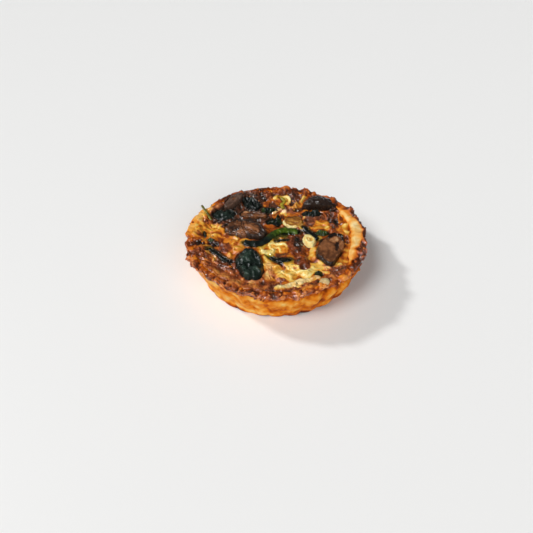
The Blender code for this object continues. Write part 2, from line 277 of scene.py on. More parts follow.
def foodFinish(name, look):
    finish = bpy.data.materials.new(name)
    finish.use_nodes = True
    tree = finish.node_tree
    shader = tree.nodes["Principled BSDF"]
    place = addNode(tree, "ShaderNodeTexCoord").outputs["Object"]

    def grainOf(size, detail=2.0):
        settings = {"Vector": place, "Scale": 1 / (size * mm), "Detail": detail, "Roughness": 0.6}
        return addNode(tree, "ShaderNodeTexNoise", settings).outputs[0]

    def fieldOf(field):
        return addNode(tree, "ShaderNodeAttribute", attribute_name=field).outputs["Fac"]

    def bumpOf(height, depth):
        settings = {"Height": height, "Strength": 1.0, "Distance": depth * mm}
        return addNode(tree, "ShaderNodeBump", settings).outputs[0]

    grain = calc(tree, "MULTIPLY_ADD", grainOf(look["grainSize"]), look["grain"], -0.5 * look["grain"])
    tone = calc(tree, "ADD", fieldOf("tone"), grain)
    colour = colourRamp(tree, look["stops"], tone)
    for field, stops in look.get("tints", {}).items():  # other colours show where that field is 1
        other = colourRamp(tree, stops, tone)
        colour = addNode(tree, "ShaderNodeMix", {0: fieldOf(field), 6: colour, 7: other},
                         data_type="RGBA").outputs[2]
    tree.links.new(colour, shader.inputs["Base Color"])

    low, high = look["roughness"]
    gloss = {0: grainOf(look["glossSize"]), 1: 0.35, 2: 0.65, 3: low, 4: high}
    rough = addNode(tree, "ShaderNodeMapRange", gloss)
    tree.links.new(rough.outputs[0], shader.inputs["Roughness"])
    bumpSize, bumpDepth = look["bump"]
    height = calc(tree, "ADD", grainOf(bumpSize), calc(tree, "MULTIPLY", grainOf(bumpSize * 0.35), 0.4))
    tree.links.new(bumpOf(height, bumpDepth), shader.inputs["Normal"])
    ripples = grainOf(look.get("rippleSize", 2.4), 1.5)
    tree.links.new(bumpOf(ripples, look["ripple"]), shader.inputs["Coat Normal"])
    if look.get("wetParts"):
        tree.links.new(fieldOf("wetness"), shader.inputs["Coat Weight"])
    for socket, value in look["shader"].items():
        shader.inputs[socket].default_value = value
    return finish


bakedStops = [
    (0.00, (238, 222, 156)), (0.14, (230, 196, 104)), (0.28, (220, 160, 56)), (0.42, (200, 116, 28)),
    (0.56, (162, 78, 18)), (0.68, (120, 52, 16)), (0.80, (80, 36, 15)), (0.90, (46, 25, 14)),
    (1.00, (20, 13, 10)),
]
crustStops = [
    (0.00, (238, 212, 152)), (0.14, (232, 186, 104)), (0.28, (228, 156, 60)), (0.42, (214, 122, 26)),
    (0.56, (176, 82, 14)), (0.68, (130, 54, 13)), (0.80, (84, 36, 13)), (0.90, (48, 25, 12)),
    (1.00, (22, 13, 10)),
]
juicyStops = [
    (0.0, (216, 204, 104)), (0.3, (154, 138, 44)), (0.6, (72, 70, 24)), (0.8, (30, 34, 17)),
    (1.0, (10, 13, 10)),
]
skinStops = [
    (0.0, (236, 200, 158)), (0.3, (208, 146, 106)), (0.55, (146, 84, 58)), (0.75, (86, 54, 40)),
    (0.9, (44, 32, 25)), (1.0, (18, 14, 12)),
]
wet = {"Specular IOR Level": 0.03, "Coat Weight": 1.0, "Coat Roughness": 0.06}
satin = {"Specular IOR Level": 0.05, "Coat Weight": 0.6, "Coat Roughness": 0.16}
crustFinish = foodFinish("bakedPastry", {
    "stops": crustStops, "tints": {"skin": skinStops}, "grain": 0.10, "grainSize": 2.0,
    "roughness": (0.35, 0.6), "glossSize": 1.5, "bump": (0.8, 0.08), "ripple": 0.26, "rippleSize": 1.4,
    "wetParts": True,
    "shader": {"Subsurface Weight": 0.04, "Subsurface Scale": 0.001, "Specular IOR Level": 0.02,
               "Coat Roughness": 0.07},
})
custardFinish = foodFinish("bakedCustard", {
    "stops": bakedStops, "tints": {"juice": juicyStops, "skin": skinStops},
    "grain": 0.08, "grainSize": 1.8, "roughness": (0.3, 0.5), "glossSize": 1.2, "bump": (0.8, 0.05),
    "ripple": 0.27, "rippleSize": 1.1,
    "shader": {"Subsurface Weight": 0.06, "Subsurface Scale": 0.0012, **wet},
})
mushroomFinish = foodFinish("roastMushroom", {
    "stops": [(0.0, (16, 10, 8)), (0.25, (44, 27, 18)), (0.5, (94, 55, 30)), (0.75, (148, 94, 56)),
              (1.0, (206, 162, 116))],
    "tints": {"skin": [(0.0, (14, 11, 9)), (0.35, (48, 35, 29)), (0.7, (104, 78, 64)),
                       (1.0, (168, 144, 122))]},
    "grain": 0.16, "grainSize": 0.8, "roughness": (0.35, 0.6), "glossSize": 1.0, "bump": (0.5, 0.12),
    "ripple": 0.30, "rippleSize": 0.9, "shader": wet,
})
spinachFinish = foodFinish("cookedSpinach", {
    "stops": [(0.0, (3, 5, 4)), (0.3, (12, 17, 14)), (0.55, (26, 37, 31)), (0.8, (56, 74, 62)),
              (1.0, (116, 136, 112))],
    "tints": {"fresh": [(0.0, (12, 18, 5)), (0.4, (48, 68, 12)), (0.75, (100, 124, 32)),
                        (1.0, (172, 186, 94))]},
    "grain": 0.14, "grainSize": 0.8, "roughness": (0.3, 0.5), "glossSize": 0.9, "bump": (0.5, 0.08),
    "ripple": 0.3, "rippleSize": 1.3, "shader": satin,
})
onionFinish = foodFinish("softOnion", {
    "stops": [(0.0, (244, 228, 160)), (0.3, (218, 170, 80)), (0.6, (150, 96, 36)), (1.0, (66, 36, 16))],
    "tints": {"skin": [(0.0, (226, 212, 170)), (0.4, (184, 162, 118)), (1.0, (96, 78, 50))]},
    "grain": 0.12, "grainSize": 0.9, "roughness": (0.3, 0.5), "glossSize": 1.0, "bump": (0.6, 0.06),
    "ripple": 0.34,
    "shader": {"Subsurface Weight": 0.15, "Subsurface Scale": 0.0015, **wet},
})
leekFinish = foodFinish("softLeek", {
    "stops": [(0.0, (222, 208, 110)), (0.4, (176, 156, 50)), (0.7, (100, 94, 24)), (1.0, (36, 36, 12))],
    "grain": 0.14, "grainSize": 0.8, "roughness": (0.3, 0.5), "glossSize": 1.0, "bump": (0.5, 0.06),
    "ripple": 0.34,
    "shader": {"Subsurface Weight": 0.06, "Subsurface Scale": 0.0012, **wet},
})
toppingFinishes = {
    "mushroom": mushroomFinish, "onion": onionFinish, "cheese": onionFinish, "spinach": spinachFinish,
    "leek": leekFinish,
}
print("finishes made")


# The pastry case

case = {
    "rimRadius": 55.6, "footRadius": 47.6, "rimHeight": 25.0, "depthShare": 0.93,
    "rimLean": 3.0,  # the front of the rim stands this much above its mean, the back as much below
    "wallAtRim": 4.4, "wallAtFoot": 5.2,
    "floorDrop": 9.0,  # from the rim down to the hidden floor
    "flutes": 30, "fluteDepth": 1.5, "fluteShape": 0.8,
    "faintest": 232,  # the direction in which the flutes are faintest
    "fluteFade": (17.5, 21.0),  # the heights between which they fade
    "columns": 760, "rowGap": 0.42, "topGap": 0.18,
    "beadOut": 1.1, "rimRound": 1.2,
    "lipDeep": 7.0,  # how far down the pastry that has folded in over the custard reaches
    # the crag shade weights darken the creases between lumps as painted shade and brown each lump by its own
    # chance
    "lumps": (5.0, 9, 3), "cragRise": (1.6, 0.5, 2.0, 0.6), "creaseShadeAndBrowning": (0.26, 0.14, 0.30, 0.14),
}
# direction in degrees, 0 right and 90 back: how far the rim stands out there
rimSwell = [
    (0, 0.3), (20, 1.2), (33, 1.7), (46, 1.2), (60, 0.2), (120, 0.0), (133, -1.1), (147, -1.2), (158, 0.5),
    (168, 0.8), (180, 0.2), (240, 0.1), (255, 0.9), (268, 0.9), (285, 0.1), (330, 0.0),
]
# how far the wall bulges below the rim
wallSwell = [(0, 0.0), (180, 0.0), (255, 0.0), (285, 1.0), (310, 2.2), (335, 1.8), (352, 0.4)]
# how far down the outside the browned bead reaches
beadDepth = [
    (0, 6.0), (90, 6.0), (180, 6.0), (200, 5.0), (215, 3.6), (235, 3.4), (252, 4.4), (264, 5.0), (276, 3.2),
    (300, 2.8), (322, 3.6), (342, 5.4),
]
# how craggy the browned bead is, and how brown
rimCrag = [
    (0, 1.0), (30, 0.9), (60, 0.9), (90, 0.8), (120, 0.6), (140, 0.25), (172, 0.3), (185, 0.8), (205, 1.1),
    (240, 1.2), (275, 1.2), (300, 0.9), (320, 0.7), (340, 1.1),
]
rimTone = [
    (0, 0.68), (20, 0.70), (45, 0.66), (70, 0.64), (90, 0.68), (105, 0.68), (118, 0.72), (131, 0.70),
    (138, 0.44), (146, 0.26), (166, 0.28), (174, 0.36), (183, 0.52), (190, 0.66), (205, 0.58), (225, 0.55),
    (245, 0.56), (258, 0.60), (265, 0.68), (272, 0.60), (282, 0.52), (290, 0.54), (305, 0.50), (320, 0.50),
    (332, 0.68), (345, 0.72),
]
rimMauve = [
    (0, 0.35), (60, 0.3), (100, 0.4), (128, 0.5), (140, 0.1), (170, 0.1), (190, 0.3), (210, 0.5),
    (255, 0.6), (280, 0.5), (310, 0.35),
]
# how much darker the wall is by direction, most on the right: painted shade on the side away from the light
wallShadeAround = [(200, 0.0), (250, -0.02), (290, 0.06), (330, 0.20), (345, 0.22), (20, 0.14), (180, 0.04)]
# the bare strip on the right, where the pastry has folded in: its inner and outer edge, from the middle
foldEdge = [
    (-42, 51.2), (-32, 50.4), (-24, 47.6), (-15, 46.0), (-5, 46.6), (4, 47.4), (15, 49.2), (25, 50.4),
    (34, 51.2),
]
brownEdge = [
    (-36, 48.0), (-29, 50.6), (-22, 51.4), (-15, 50.2), (-8, 51.4), (0, 53.0), (8, 54.0), (20, 53.6),
    (30, 53.4), (36, 52.6), (42, 48.0), (180, 48.0),
]
# knobs that stand up off the rim: direction, distance from the middle, size, how high
rimKnobs = [
    (31, 55.4, 1.5, 2.4), (24, 55.8, 1.3, 1.2), (188, 55.0, 1.8, 1.3), (196, 55.4, 1.6, 1.0),
    (255, 55.4, 2.6, 1.2), (266, 55.2, 2.2, 1.2), (345, 55.6, 1.6, 1.2), (8, 56.0, 1.4, 1.2),
    (62, 54.6, 1.8, 1.0), (96, 54.2, 1.8, 1.2),
]


def lean(y):
    return -case["rimLean"] * y / (case["rimRadius"] * case["depthShare"])


def outerRadius(height):
    return case["footRadius"] + (case["rimRadius"] - case["footRadius"]) * height / case["rimHeight"]


def innerRadius(height):
    share = height / case["rimHeight"]
    return outerRadius(height) - case["wallAtFoot"] - (case["wallAtRim"] - case["wallAtFoot"]) * share


def caseProfile():
    # from the middle of the hidden floor up the inside, over the rim, down the outside and in to the middle
    top, rounding = case["rimHeight"], case["rimRound"]
    inner, outer = innerRadius(top), case["rimRadius"]
    corners = [(inner - 3.0, top - case["floorDrop"]), (inner, top - rounding)]
    corners += [(inner + rounding * 0.4, top - rounding * 0.4), (inner + rounding, top)]
    corners += [(outer - rounding, top), (outer - rounding * 0.3, top - rounding * 0.3),
                (outer, top - rounding)]
    corners += [(outerRadius(0.9), 0.9), (case["footRadius"] - 0.4, 0.25), (case["footRadius"] - 1.2, 0.0)]
    corners += [(case["footRadius"] - 6.0, 0.0)]
    rows = [(0.0, top - case["floorDrop"])]
    for (startR, startZ), (endR, endZ) in zip(corners, corners[1:]):
        gap = case["topGap"] if min(startZ, endZ) > top - 2 * rounding else case["rowGap"]
        steps = max(1, round(math.hypot(endR - startR, endZ - startZ) / gap))
        rows += [(startR + (endR - startR) * i / steps,
                  startZ + (endZ - startZ) * i / steps) for i in range(steps)]
    return [*rows, corners[-1], (0.0, 0.0)]


def flutedCaseTree():
    # a grid whose one side runs round the case and whose other side runs along the profile
    wanted = [("Profile", "Object"), ("Columns", "Int"), ("Rows", "Int"), ("Flutes", "Int")]
    sizes = ["Flute depth", "Foot radius", "Wall", "Slope", "Faintest"]
    tree, given = newTree("flutedCase", *wanted, *((size, "Float") for size in sizes))
    grid = addNode(tree, "GeometryNodeMeshGrid", {0: 1.0, 1: 1.0, 2: given["Columns"], 3: given["Rows"]})
    spot = addNode(tree, "ShaderNodeSeparateXYZ", {0: addNode(tree, "GeometryNodeInputPosition").outputs[0]})
    turn = calc(tree, "MULTIPLY", calc(tree, "ADD", spot.outputs[0], 0.5), -fullTurn)
    row = calc(tree, "MULTIPLY", calc(tree, "ADD", spot.outputs[1], 0.5),
               calc(tree, "SUBTRACT", given["Rows"], 1.0))
    profile = addNode(tree, "GeometryNodeObjectInfo", {0: given["Profile"]}).outputs["Geometry"]
    taken = addNode(tree, "GeometryNodeSampleIndex", data_type="FLOAT_VECTOR", domain="POINT")
    tree.links.new(profile, taken.inputs["Geometry"])
    tree.links.new(addNode(tree, "GeometryNodeInputPosition").outputs[0], taken.inputs["Value"])
    tree.links.new(calc(tree, "ROUND", row), taken.inputs["Index"])
    section = addNode(tree, "ShaderNodeSeparateXYZ", {0: taken.outputs[0]})
    radius, height = section.outputs[0], section.outputs[2]
    wave = calc(tree, "MULTIPLY", calc(tree, "MULTIPLY", turn, given["Flutes"]), 0.5)
    lobe = calc(tree, "ABSOLUTE", calc(tree, "SINE", wave))
    lobe = calc(tree, "SUBTRACT", calc(tree, "POWER", lobe, case["fluteShape"]), 0.62)  # about their mean
    # only the outer half of the wall is fluted
    middle = calc(tree, "MULTIPLY_ADD", height, given["Slope"], given["Foot radius"])
    middle = calc(tree, "SUBTRACT", middle, given["Wall"])
    beyond = calc(tree, "SUBTRACT", radius, middle)
    outside = addNode(tree, "ShaderNodeMapRange", {0: beyond, 1: 0.0, 2: given["Wall"]})
    out = calc(tree, "MULTIPLY", calc(tree, "MULTIPLY", lobe, given["Flute depth"]), outside.outputs[0])
    low, high = (end * mm for end in case["fluteFade"])
    fading = addNode(tree, "ShaderNodeMapRange", {0: height, 1: low, 2: high, 3: 1.0, 4: 0.3}).outputs[0]
    apart = calc(tree, "COSINE", calc(tree, "SUBTRACT", turn, given["Faintest"]))
    uneven = addNode(tree, "ShaderNodeMapRange", {0: apart, 1: 1.0, 2: 0.2, 3: 0.5, 4: 1.15}).outputs[0]
    out = calc(tree, "MULTIPLY", out, calc(tree, "MULTIPLY", fading, uneven))
    radius = calc(tree, "ADD", radius, out)
    point = addNode(tree, "ShaderNodeCombineXYZ", {
        0: calc(tree, "MULTIPLY", radius, calc(tree, "COSINE", turn)),
        1: calc(tree, "MULTIPLY", radius, calc(tree, "SINE", turn)), 2: height})
    shaped = addNode(tree, "GeometryNodeSetPosition", {0: grid.outputs[0], 2: point.outputs[0]})
    seam = {"Geometry": shaped.outputs[0], "Distance": 0.01 * mm}
    merged = addNode(tree, "GeometryNodeMergeByDistance", seam)
    endTree(tree, merged.outputs[0], crustFinish)
    return tree


def keepInside(points):
    # eased in so that nothing stands outside the solid model's box
    low, high = (np.array(corner) / mm for corner in cadBounds)
    ease, gap = 0.8, 0.08
    over = np.maximum(0, points - (high - ease - gap))
    under = np.maximum(0, (low + ease + gap) - points) * [1, 1, 0]
    return points - over + ease * np.tanh(over / ease) + under - ease * np.tanh(under / ease)


def crags(points, look):
    # relief and shade of browned, craggy food, and the large lumps with each one's own chance; the shade is
    # painted shade in the creases between lumps and on the lower ground, with each lump's own chance of
    # browning
    (big, chance), (small, _) = pebbles(points, 5.0, 2), pebbles(points, 2.6, 5)
    lumps = cloud(points, *look["lumps"])
    relief = sum(map(np.multiply, look["cragRise"], (big - 0.6, small - 0.6, lumps, chance)))
    # darker in the creases and on the lower ground as painted shade, and browner by each lump's own chance
    shade = sum(map(np.multiply, look["creaseShadeAndBrowning"], (0.62 - big, 0.62 - small, -lumps, chance)))
    return relief, shade, big, smoothStep(-0.4, 0.7, chance)


def bakeCase(mesh):
    # the plain fluted case is folded in on the right, squeezed, tipped, browned and given its crags
    points = pointsOf(mesh)
    radius, angle, height = np.hypot(*points[:, :2].T), np.arctan2(points[:, 1], points[:, 0]), points[:, 2]
    degrees = np.degrees(angle) % 360
    rimHeight = case["rimHeight"]
    inside, outside = innerRadius(height), outerRadius(height)
    outward = smoothStep(inside, outside - 0.6, radius)
    across = np.clip((radius - inside) / (outside - inside), 0, 1)
    onTop = smoothStep(rimHeight - 3.5, rimHeight - 0.6, height)
    faceUp = smoothStep(rimHeight - 2.4, rimHeight - 0.2, height)
    under = smoothStep(rimHeight - 2.0, rimHeight - 5.0, height)
    foldIn = innerRadius(rimHeight) - around(angle, foldEdge) + 1.1 * softNoise(points * [1, 1, 0], 3.4, 26)
    reached = smoothStep(rimHeight - case["floorDrop"], rimHeight - case["lipDeep"], height)
    radius = radius - foldIn * reached * (1 - across)
    ring = np.stack([np.cos(angle), np.sin(angle), 0 * angle], axis=1)
    plan = ring * radius[:, None] * [1, case["depthShare"], 1] + [0, 0, 1] * height[:, None]
    crag = around(angle, rimCrag)
    relief, shade, big, luck = crags(plan, case)

    # the browned bead has a ragged lower edge
    edge = rimHeight - around(angle, beadDepth) + 2.4 * softNoise(plan, 5.5, 11) * crag - 0.8 * (big - 0.5)
    bead = smoothStep(edge, edge + 1.0, height) * smoothStep(0.3, 0.7, outward)
    torn = 0.8 * cloud(plan, 3.6, 3, 3)
    pale = smoothStep(0.7, -0.5, radius - around(angle, brownEdge) + torn) * onTop
    rough = crag * relief * (1 - 0.92 * pale)
    creases = ridges(plan * [1, 1, 0.7], 9, 17) * smoothStep(150, 200, degrees)
    out = bead * (case["beadOut"] * (0.5 + 0.5 * crag) + rough * (1 - 0.8 * faceUp))
    out += onTop * outward * around(angle, rimSwell)
    swells = 1.1 * softNoise(plan, 9, 1) + 0.7 * softNoise(plan, 4.5, 4) + 0.28 * cloud(plan, 2.4, 18, 2)
    out += outward * smoothStep(0.5, 3.0, height) * (swells - 0.7 * creases)
    out += outward * around(angle, wallSwell) * smoothStep(0.5, 6, height) * smoothStep(23, 17, height)
    up = faceUp * (0.35 + 0.65 * outward) * 0.85 * rough + onTop * 0.8 * softNoise(ring, 0.25, 6)
    up += pale * (1.0 * softNoise(plan, 4.2, 14) - 0.5)
    for turn, away, size, rise in rimKnobs:
        knobX = away * math.cos(math.radians(turn))
        knobY = away * math.sin(math.radians(turn)) * case["depthShare"]
        up += rise * faceUp * np.exp(-(np.hypot(plan[:, 0] - knobX, plan[:, 1] - knobY) / size) ** 4)

    y = (radius + out) * np.sin(angle) * case["depthShare"]
    settled = height * (rimHeight + lean(y)) / rimHeight
    setPoints(mesh, keepInside(np.stack([(radius + out) * np.cos(angle), y, settled + up], axis=1)))

    # colour: a golden wall, browner at its foot, under a brown bead; painted shade darkens its flute grooves,
    # its creases and its right side, and a painted shadow lies in a band just under the bead
    hollow = 1 - np.abs(np.sin(case["flutes"] * angle / 2)) ** case["fluteShape"]
    tone = 0.24 + 0.28 * cloud(plan, 6, 21, 3) + 0.11 * cloud(plan, 3.4, 22, 2) + around(angle, wallShadeAround)
    tone += 0.12 * hollow**1.5 * smoothStep(200, 330, degrees) + 0.24 * smoothStep(4.2, 0.3, height)
    # painted shadow in a band just under the bead's ragged edge, and painted shade in the creases
    tone += 0.12 * smoothStep(edge - 3.0, edge, height) * crag + 0.15 * creases
    # crag * shade darkens the creases between the bead's lumps: painted shade
    burnt = around(angle, rimTone) + crag * shade + 0.20 * cloud(plan, 6, 23, 2)
    burnt = np.clip(burnt, around(angle, rimTone) - 0.16, 0.84 - 0.16 * under) - 0.10 * under
    tone += (burnt - tone) * np.maximum(bead, onTop * smoothStep(0.05, 0.3, outward))
    bare = 0.18 + 0.22 * cloud(plan, 4, 24, 2) + 0.22 * smoothStep(rimHeight - 0.8, rimHeight - 4, height)
    bare += 0.22 * smoothStep(1.6, 0.2, around(angle, brownEdge) - radius - torn)
    tone += (bare - tone) * pale
    browned = bead * (1 - pale)
    setFields(mesh, {
        "tone": tone, "skin": 0.15 * pale + around(angle, rimMauve) * browned * (0.6 + 0.4 * luck),
        "crumbs": crag * browned, "wetness": bead * np.clip(crag, 0, 1) * (1 - under),
    })
    mesh.update()


def makeCase():
    rows = caseProfile()
    guide = placed("profile", bpy.data.meshes.new("profile"))
    guide.data.from_pydata([(radius * mm, 0, height * mm) for radius, height in rows], [], [])
    mesh = grownMesh(flutedCaseTree(), {
        "Profile": guide, "Columns": case["columns"] + 1, "Rows": len(rows), "Flutes": case["flutes"],
        "Flute depth": case["fluteDepth"] * mm, "Foot radius": case["footRadius"] * mm,
        "Wall": 0.5 * (case["wallAtRim"] + case["wallAtFoot"]) * mm,
        "Slope": (case["rimRadius"] - case["footRadius"]) / case["rimHeight"],
        "Faintest": math.radians(case["faintest"]),
    })
    bpy.data.objects.remove(guide)
    bakeCase(mesh)
    return dress(pieceOf("pastryCase", mesh), "crust", "pastry_crust")


pastryCase = makeCase()
print("pastry case made:", len(pastryCase.data.polygons), "faces")


# Outlines of the toppings that lie flat, as a few points round each, and the paths of the strips

outlines = {
    "mushroomLeft": [(-5.6, 4.5), (-7.4, 9.5), (-11, 13.8), (-16.5, 17.2), (-22, 18.8), (-28, 17.4),
        (-32.4, 13.4), (-33, 8), (-30.6, 4.2), (-25, 2.2), (-19, 0.6), (-13.6, -1.0), (-8.6, 0)],
    "mushroomRight": [(42.4, 2), (38.6, 4.2), (34, 2.6), (29.6, -1.6), (26.2, -6.6), (24.2, -12),
        (24.3, -17.4), (27.8, -21.6), (30.6, -25.2), (33.6, -25.4), (36.2, -21), (39.2, -15.6), (41.8, -10),
        (42.8, -4)],
    "mushroomCap": [(38.8, 31), (37.8, 35.6), (33.2, 39.6), (27.6, 40.8), (22.4, 38.4), (18.6, 33.6),
        (17.6, 30.2), (21.4, 28.6), (27, 28.8), (33.2, 28.6)],
    "mushroomWedge": [(-21.4, 44.2), (-24.4, 45.6), (-28.8, 42.6), (-32.2, 37), (-34.4, 31), (-33, 28.4),
        (-28.6, 30.4), (-24.4, 35), (-21.8, 39.6)],
    "mushroomFold": [(-5.0, 21.4), (-9, 24.2), (-15, 26.4), (-20.6, 27), (-23.4, 24.4), (-21.6, 21.6),
        (-16, 19.8), (-10.4, 19.2), (-6.4, 19.6)],
    "onionSlice": [(18.2, 18), (16.6, 21.6), (11.8, 23), (6.8, 21.8), (4.4, 17.4), (5.2, 13), (8.6, 10.6),
        (13, 10.6), (16.8, 13.4)],
    "cheeseCurd": [(25.2, -3.6), (24.2, 0.2), (21.2, 2.6), (18, 2), (16.4, -1.2), (17.4, -5), (19.6, -8),
        (23, -8.4)],
    "onionLump": [(31, -39), (29.8, -36.8), (27.4, -36), (25, -37), (24.4, -39.4), (25.8, -41.8),
        (28.4, -42.4), (30.4, -41.4)],
    "spinachFront": [(-8.0, -22), (-9.4, -16.4), (-12.4, -12.6), (-17, -11.4), (-21.4, -12.2), (-24, -16.4),
        (-24.6, -22), (-23.2, -27), (-21.2, -31.4), (-18.6, -35.4), (-14.4, -37.2), (-10, -36), (-8, -32),
        (-7.4, -27)],
    "spinachCentre": [(4.4, 15), (3.8, 19), (2.4, 23.6), (0.6, 20.6), (-3.4, 19.4), (-6, 17), (-5.8, 14.2),
        (-2, 13.6), (2, 13)],
    "spinachMiddle": [(2.2, 28.6), (-1, 30.4), (-6, 30.6), (-9.8, 28.4), (-8.4, 26), (-3, 26), (1, 26.8)],
    "spinachBack": [(-9.4, 30), (-8.8, 33), (-11.8, 37), (-15.4, 40.4), (-20, 42), (-22.6, 38.6),
        (-21, 33.6), (-16.8, 30), (-12.4, 28.4)],
    "spinachFarLeft": [(-26.2, 23.4), (-27, 27.2), (-31, 28.8), (-36, 28), (-40.6, 26.4), (-41, 22.4),
        (-37, 18.8), (-31.6, 18.4), (-28, 20)],
    "spinachBackRight": [(31.4, 24.8), (28.4, 27.2), (23.4, 27.6), (18.4, 26.6), (17.2, 24), (21, 22),
        (27, 22)],
    "spinachRight": [(34, 5), (31.6, 7.2), (27.4, 7.4), (25, 5.6), (27, 3.4), (31, 2.8)],
    "spinachBitFront": [(26.8, -29.4), (24.6, -28.6), (22.4, -30), (22.4, -32.4), (24.4, -33.6),
        (26.8, -32.6)],
    "spinachBitLeft": [(-43.6, 2), (-43.8, 5), (-45, 7.6), (-46.4, 6.4), (-46, 3.4), (-44.6, 1)],
    "spinachBitLow": [(-38, -0.8), (-39.6, 0.2), (-42, 0.2), (-43, -1), (-41, -2.4), (-38.8, -2.2)],
}
strips = {
    "spinachStem": [(-19.6, -4.2), (-15, -5.2), (-10.2, -5), (-6.4, -2.4), (-3.4, 1.6), (0.2, 5.4),
        (4.4, 7.4), (9.2, 7.2), (14, 6)],
    "spinachStripRight": [(18.4, 10.6), (20.6, 6.6), (23.6, 2.6), (26, -0.6)],
    "spinachStripFront": [(-3.6, -17.2), (-0.6, -19.4), (3.6, -20.2), (8.2, -19.6)],
    "spinachStripLeft": [(-41, -9.6), (-37, -13.2), (-33, -17.4), (-29, -20.6)],
    "leekBack": [(5.4, 30.4), (4.4, 34.6), (6.2, 38.6), (4.2, 42.4)],
}


def polarOutline(points):
    ring = smoothPath(points, closed=True)
    centre = ring.mean(axis=0)
    angles = np.arctan2(ring[:, 1] - centre[1], ring[:, 0] - centre[0])
    order = np.argsort(angles)
    return centre, angles[order], np.hypot(*(ring - centre).T)[order]


def outlineReach(outline, x, y):
    # 0 in the middle of the outline and 1 on it, and how far it is across there
    centre, angles, radii = outline
    edge = np.interp(np.arctan2(y - centre[1], x - centre[0]), angles, radii, period=fullTurn)
    return np.hypot(x - centre[0], y - centre[1]) / edge, edge


shapes = {name: polarOutline(points) for name, points in outlines.items()}
stripPaths = {name: smoothPath(points) for name, points in strips.items()}


# The custard

custard = {
    "drop": 3.2,  # from the rim to the level that the toppings rest on
    "edgeRise": 2.9, "paleDrop": 0.3, "count": 300, "edgeBaked": 53.4, "underLip": 1.0,
    "swell": 1.2, "swellSize": 13, "lump": 1.5, "lumpSize": 6.5,
    "lip": 1.0, "lipWidth": 1.4,  # where it has crept up against a topping
    # the crag shade weights darken the creases between lumps as painted shade and brown each lump by its own
    # chance
    "lumps": (4.4, 39, 3), "cragRise": (1.4, 0.5, 1.7, 0.4), "creaseShadeAndBrowning": (0.26, 0.14, 0.20, 0.08),
}
# Zones, as seen from above the front: tone from 0 pale to 1 black, juice, skin, and outline
custardZones = [
    (0.37, 0, 0, [(-53, 8), (-50, 20), (-44, 14), (-34, 13), (-30, 6), (-26, 0), (-18, -3), (-18, -8),
        (-26, -10), (-36, -7), (-44, -8), (-50, -2)]),
    (0.50, 0, 0.2, [(-44, -14), (-36, -15), (-27, -22), (-22, -34), (-10, -39), (-3, -43), (-8, -50),
        (-26, -46), (-40, -34), (-48, -22)]),
    (0.82, 0.15, 0.6, [(-42, 30), (-36, 41), (-26, 47), (-13, 44), (-3, 36), (2, 30), (2, 23), (-4, 18),
        (-7, 12), (-30, 10), (-38, 10), (-43, 20)]),
    (0.70, 0, 0, [(-16, 50), (2, 52), (14, 49), (11, 43), (4, 43), (0, 39), (-10, 41)]),
    (0.30, 0.3, 0, [(0, 38), (2, 42), (6, 43), (8.6, 40), (8, 36), (4, 34)]),
    (0.78, 0.1, 0.15, [(8.6, 45), (18, 46), (17, 37), (15, 29), (9, 29), (8.4, 35.6)]),
    (0.38, 0, 0, [(19.4, 40), (21, 47), (26, 45), (25.4, 39.5)]),
    (0.72, 0, 0, [(24, 47), (36, 42), (43, 33), (44, 25), (39, 24), (36, 32), (31, 40), (24, 42)]),
    (0.78, 0, 0, [(38, 35), (43, 33), (45, 28), (43.6, 20.5), (43, 13), (39, 6), (35.6, 4), (35, 12),
        (33.5, 20.6), (33, 26.6)]),
    (0.46, 0, 0, [(25, 18.6), (33, 19.6), (35, 12), (34.6, 5), (26, 5), (23, 11)]),
    (0.70, 0.1, 0.6, [(19, 21), (25, 21.4), (32, 21), (32, 17.6), (26.5, 16.4), (24, 10.6), (20, 11.4)]),
    (0.46, 0, 0, [(41, 24), (46, 22), (48, 12), (48, 0), (47, -10), (44, -20), (40, -24), (41, -12),
        (43, 0), (41, 12)]),
    (0.24, 0.05, 0, [(-13, -8), (-7, -5), (-2, -3), (4, -3), (8.4, -6), (8.4, -14), (5, -17), (-1, -18),
        (-5, -21), (-10, -16)]),
    (0.62, 0.9, 0, [(-3, 3), (8, 2.4), (8, -1.4), (1, -3.4), (-2, -1)]),
    (0.44, 0, 0, [(0.6, -9.6), (6, -9.6), (7.4, -16), (4, -18), (0, -15)]),
    (0.22, 0.2, 0, [(-9, -12), (-4, -12), (-3, -19), (-8, -18)]),
    (0.25, 0, 0, [(-8, -19), (0, -23), (9, -23), (15, -31), (22, -24), (30, -26), (37, -29), (26, -36),
        (12, -41), (0, -39), (-8, -36)]),
    (0.60, 0, 0.3, [(30, -37), (33, -29), (41, -26), (47, -20), (46, -30), (38, -40), (30, -44)]),
    (0.30, 0, 0.4, [(-6, -25), (-2, -26), (-1, -34), (-4, -38), (-8, -36)]),
    (0.66, 0, 0.1, [(-4, -43), (8, -42), (20, -40), (30, -38), (30, -46), (14, -51), (-4, -51)]),
    (0.30, 0, 0, [(19, -10), (23, -10), (25, -19), (31, -27), (26, -29), (20, -22)]),
    (0.60, 0.1, 0, [(-10, 5), (-5, 8), (1, 10), (6, 9), (0, 5), (-5, 1)]),
    (0.64, 0, 0.1, [(6, 8), (14, 9), (19, 5), (19, 0), (12, 4), (5, 3)]),
    (0.72, 0, 0.0, [(6.8, -0.4), (11, 2), (15.7, 3), (19.4, -3), (21.4, -12), (19.6, -20), (19.2, -29),
        (13, -30), (10.6, -25), (9.4, -18), (7, -8.6)]),
]
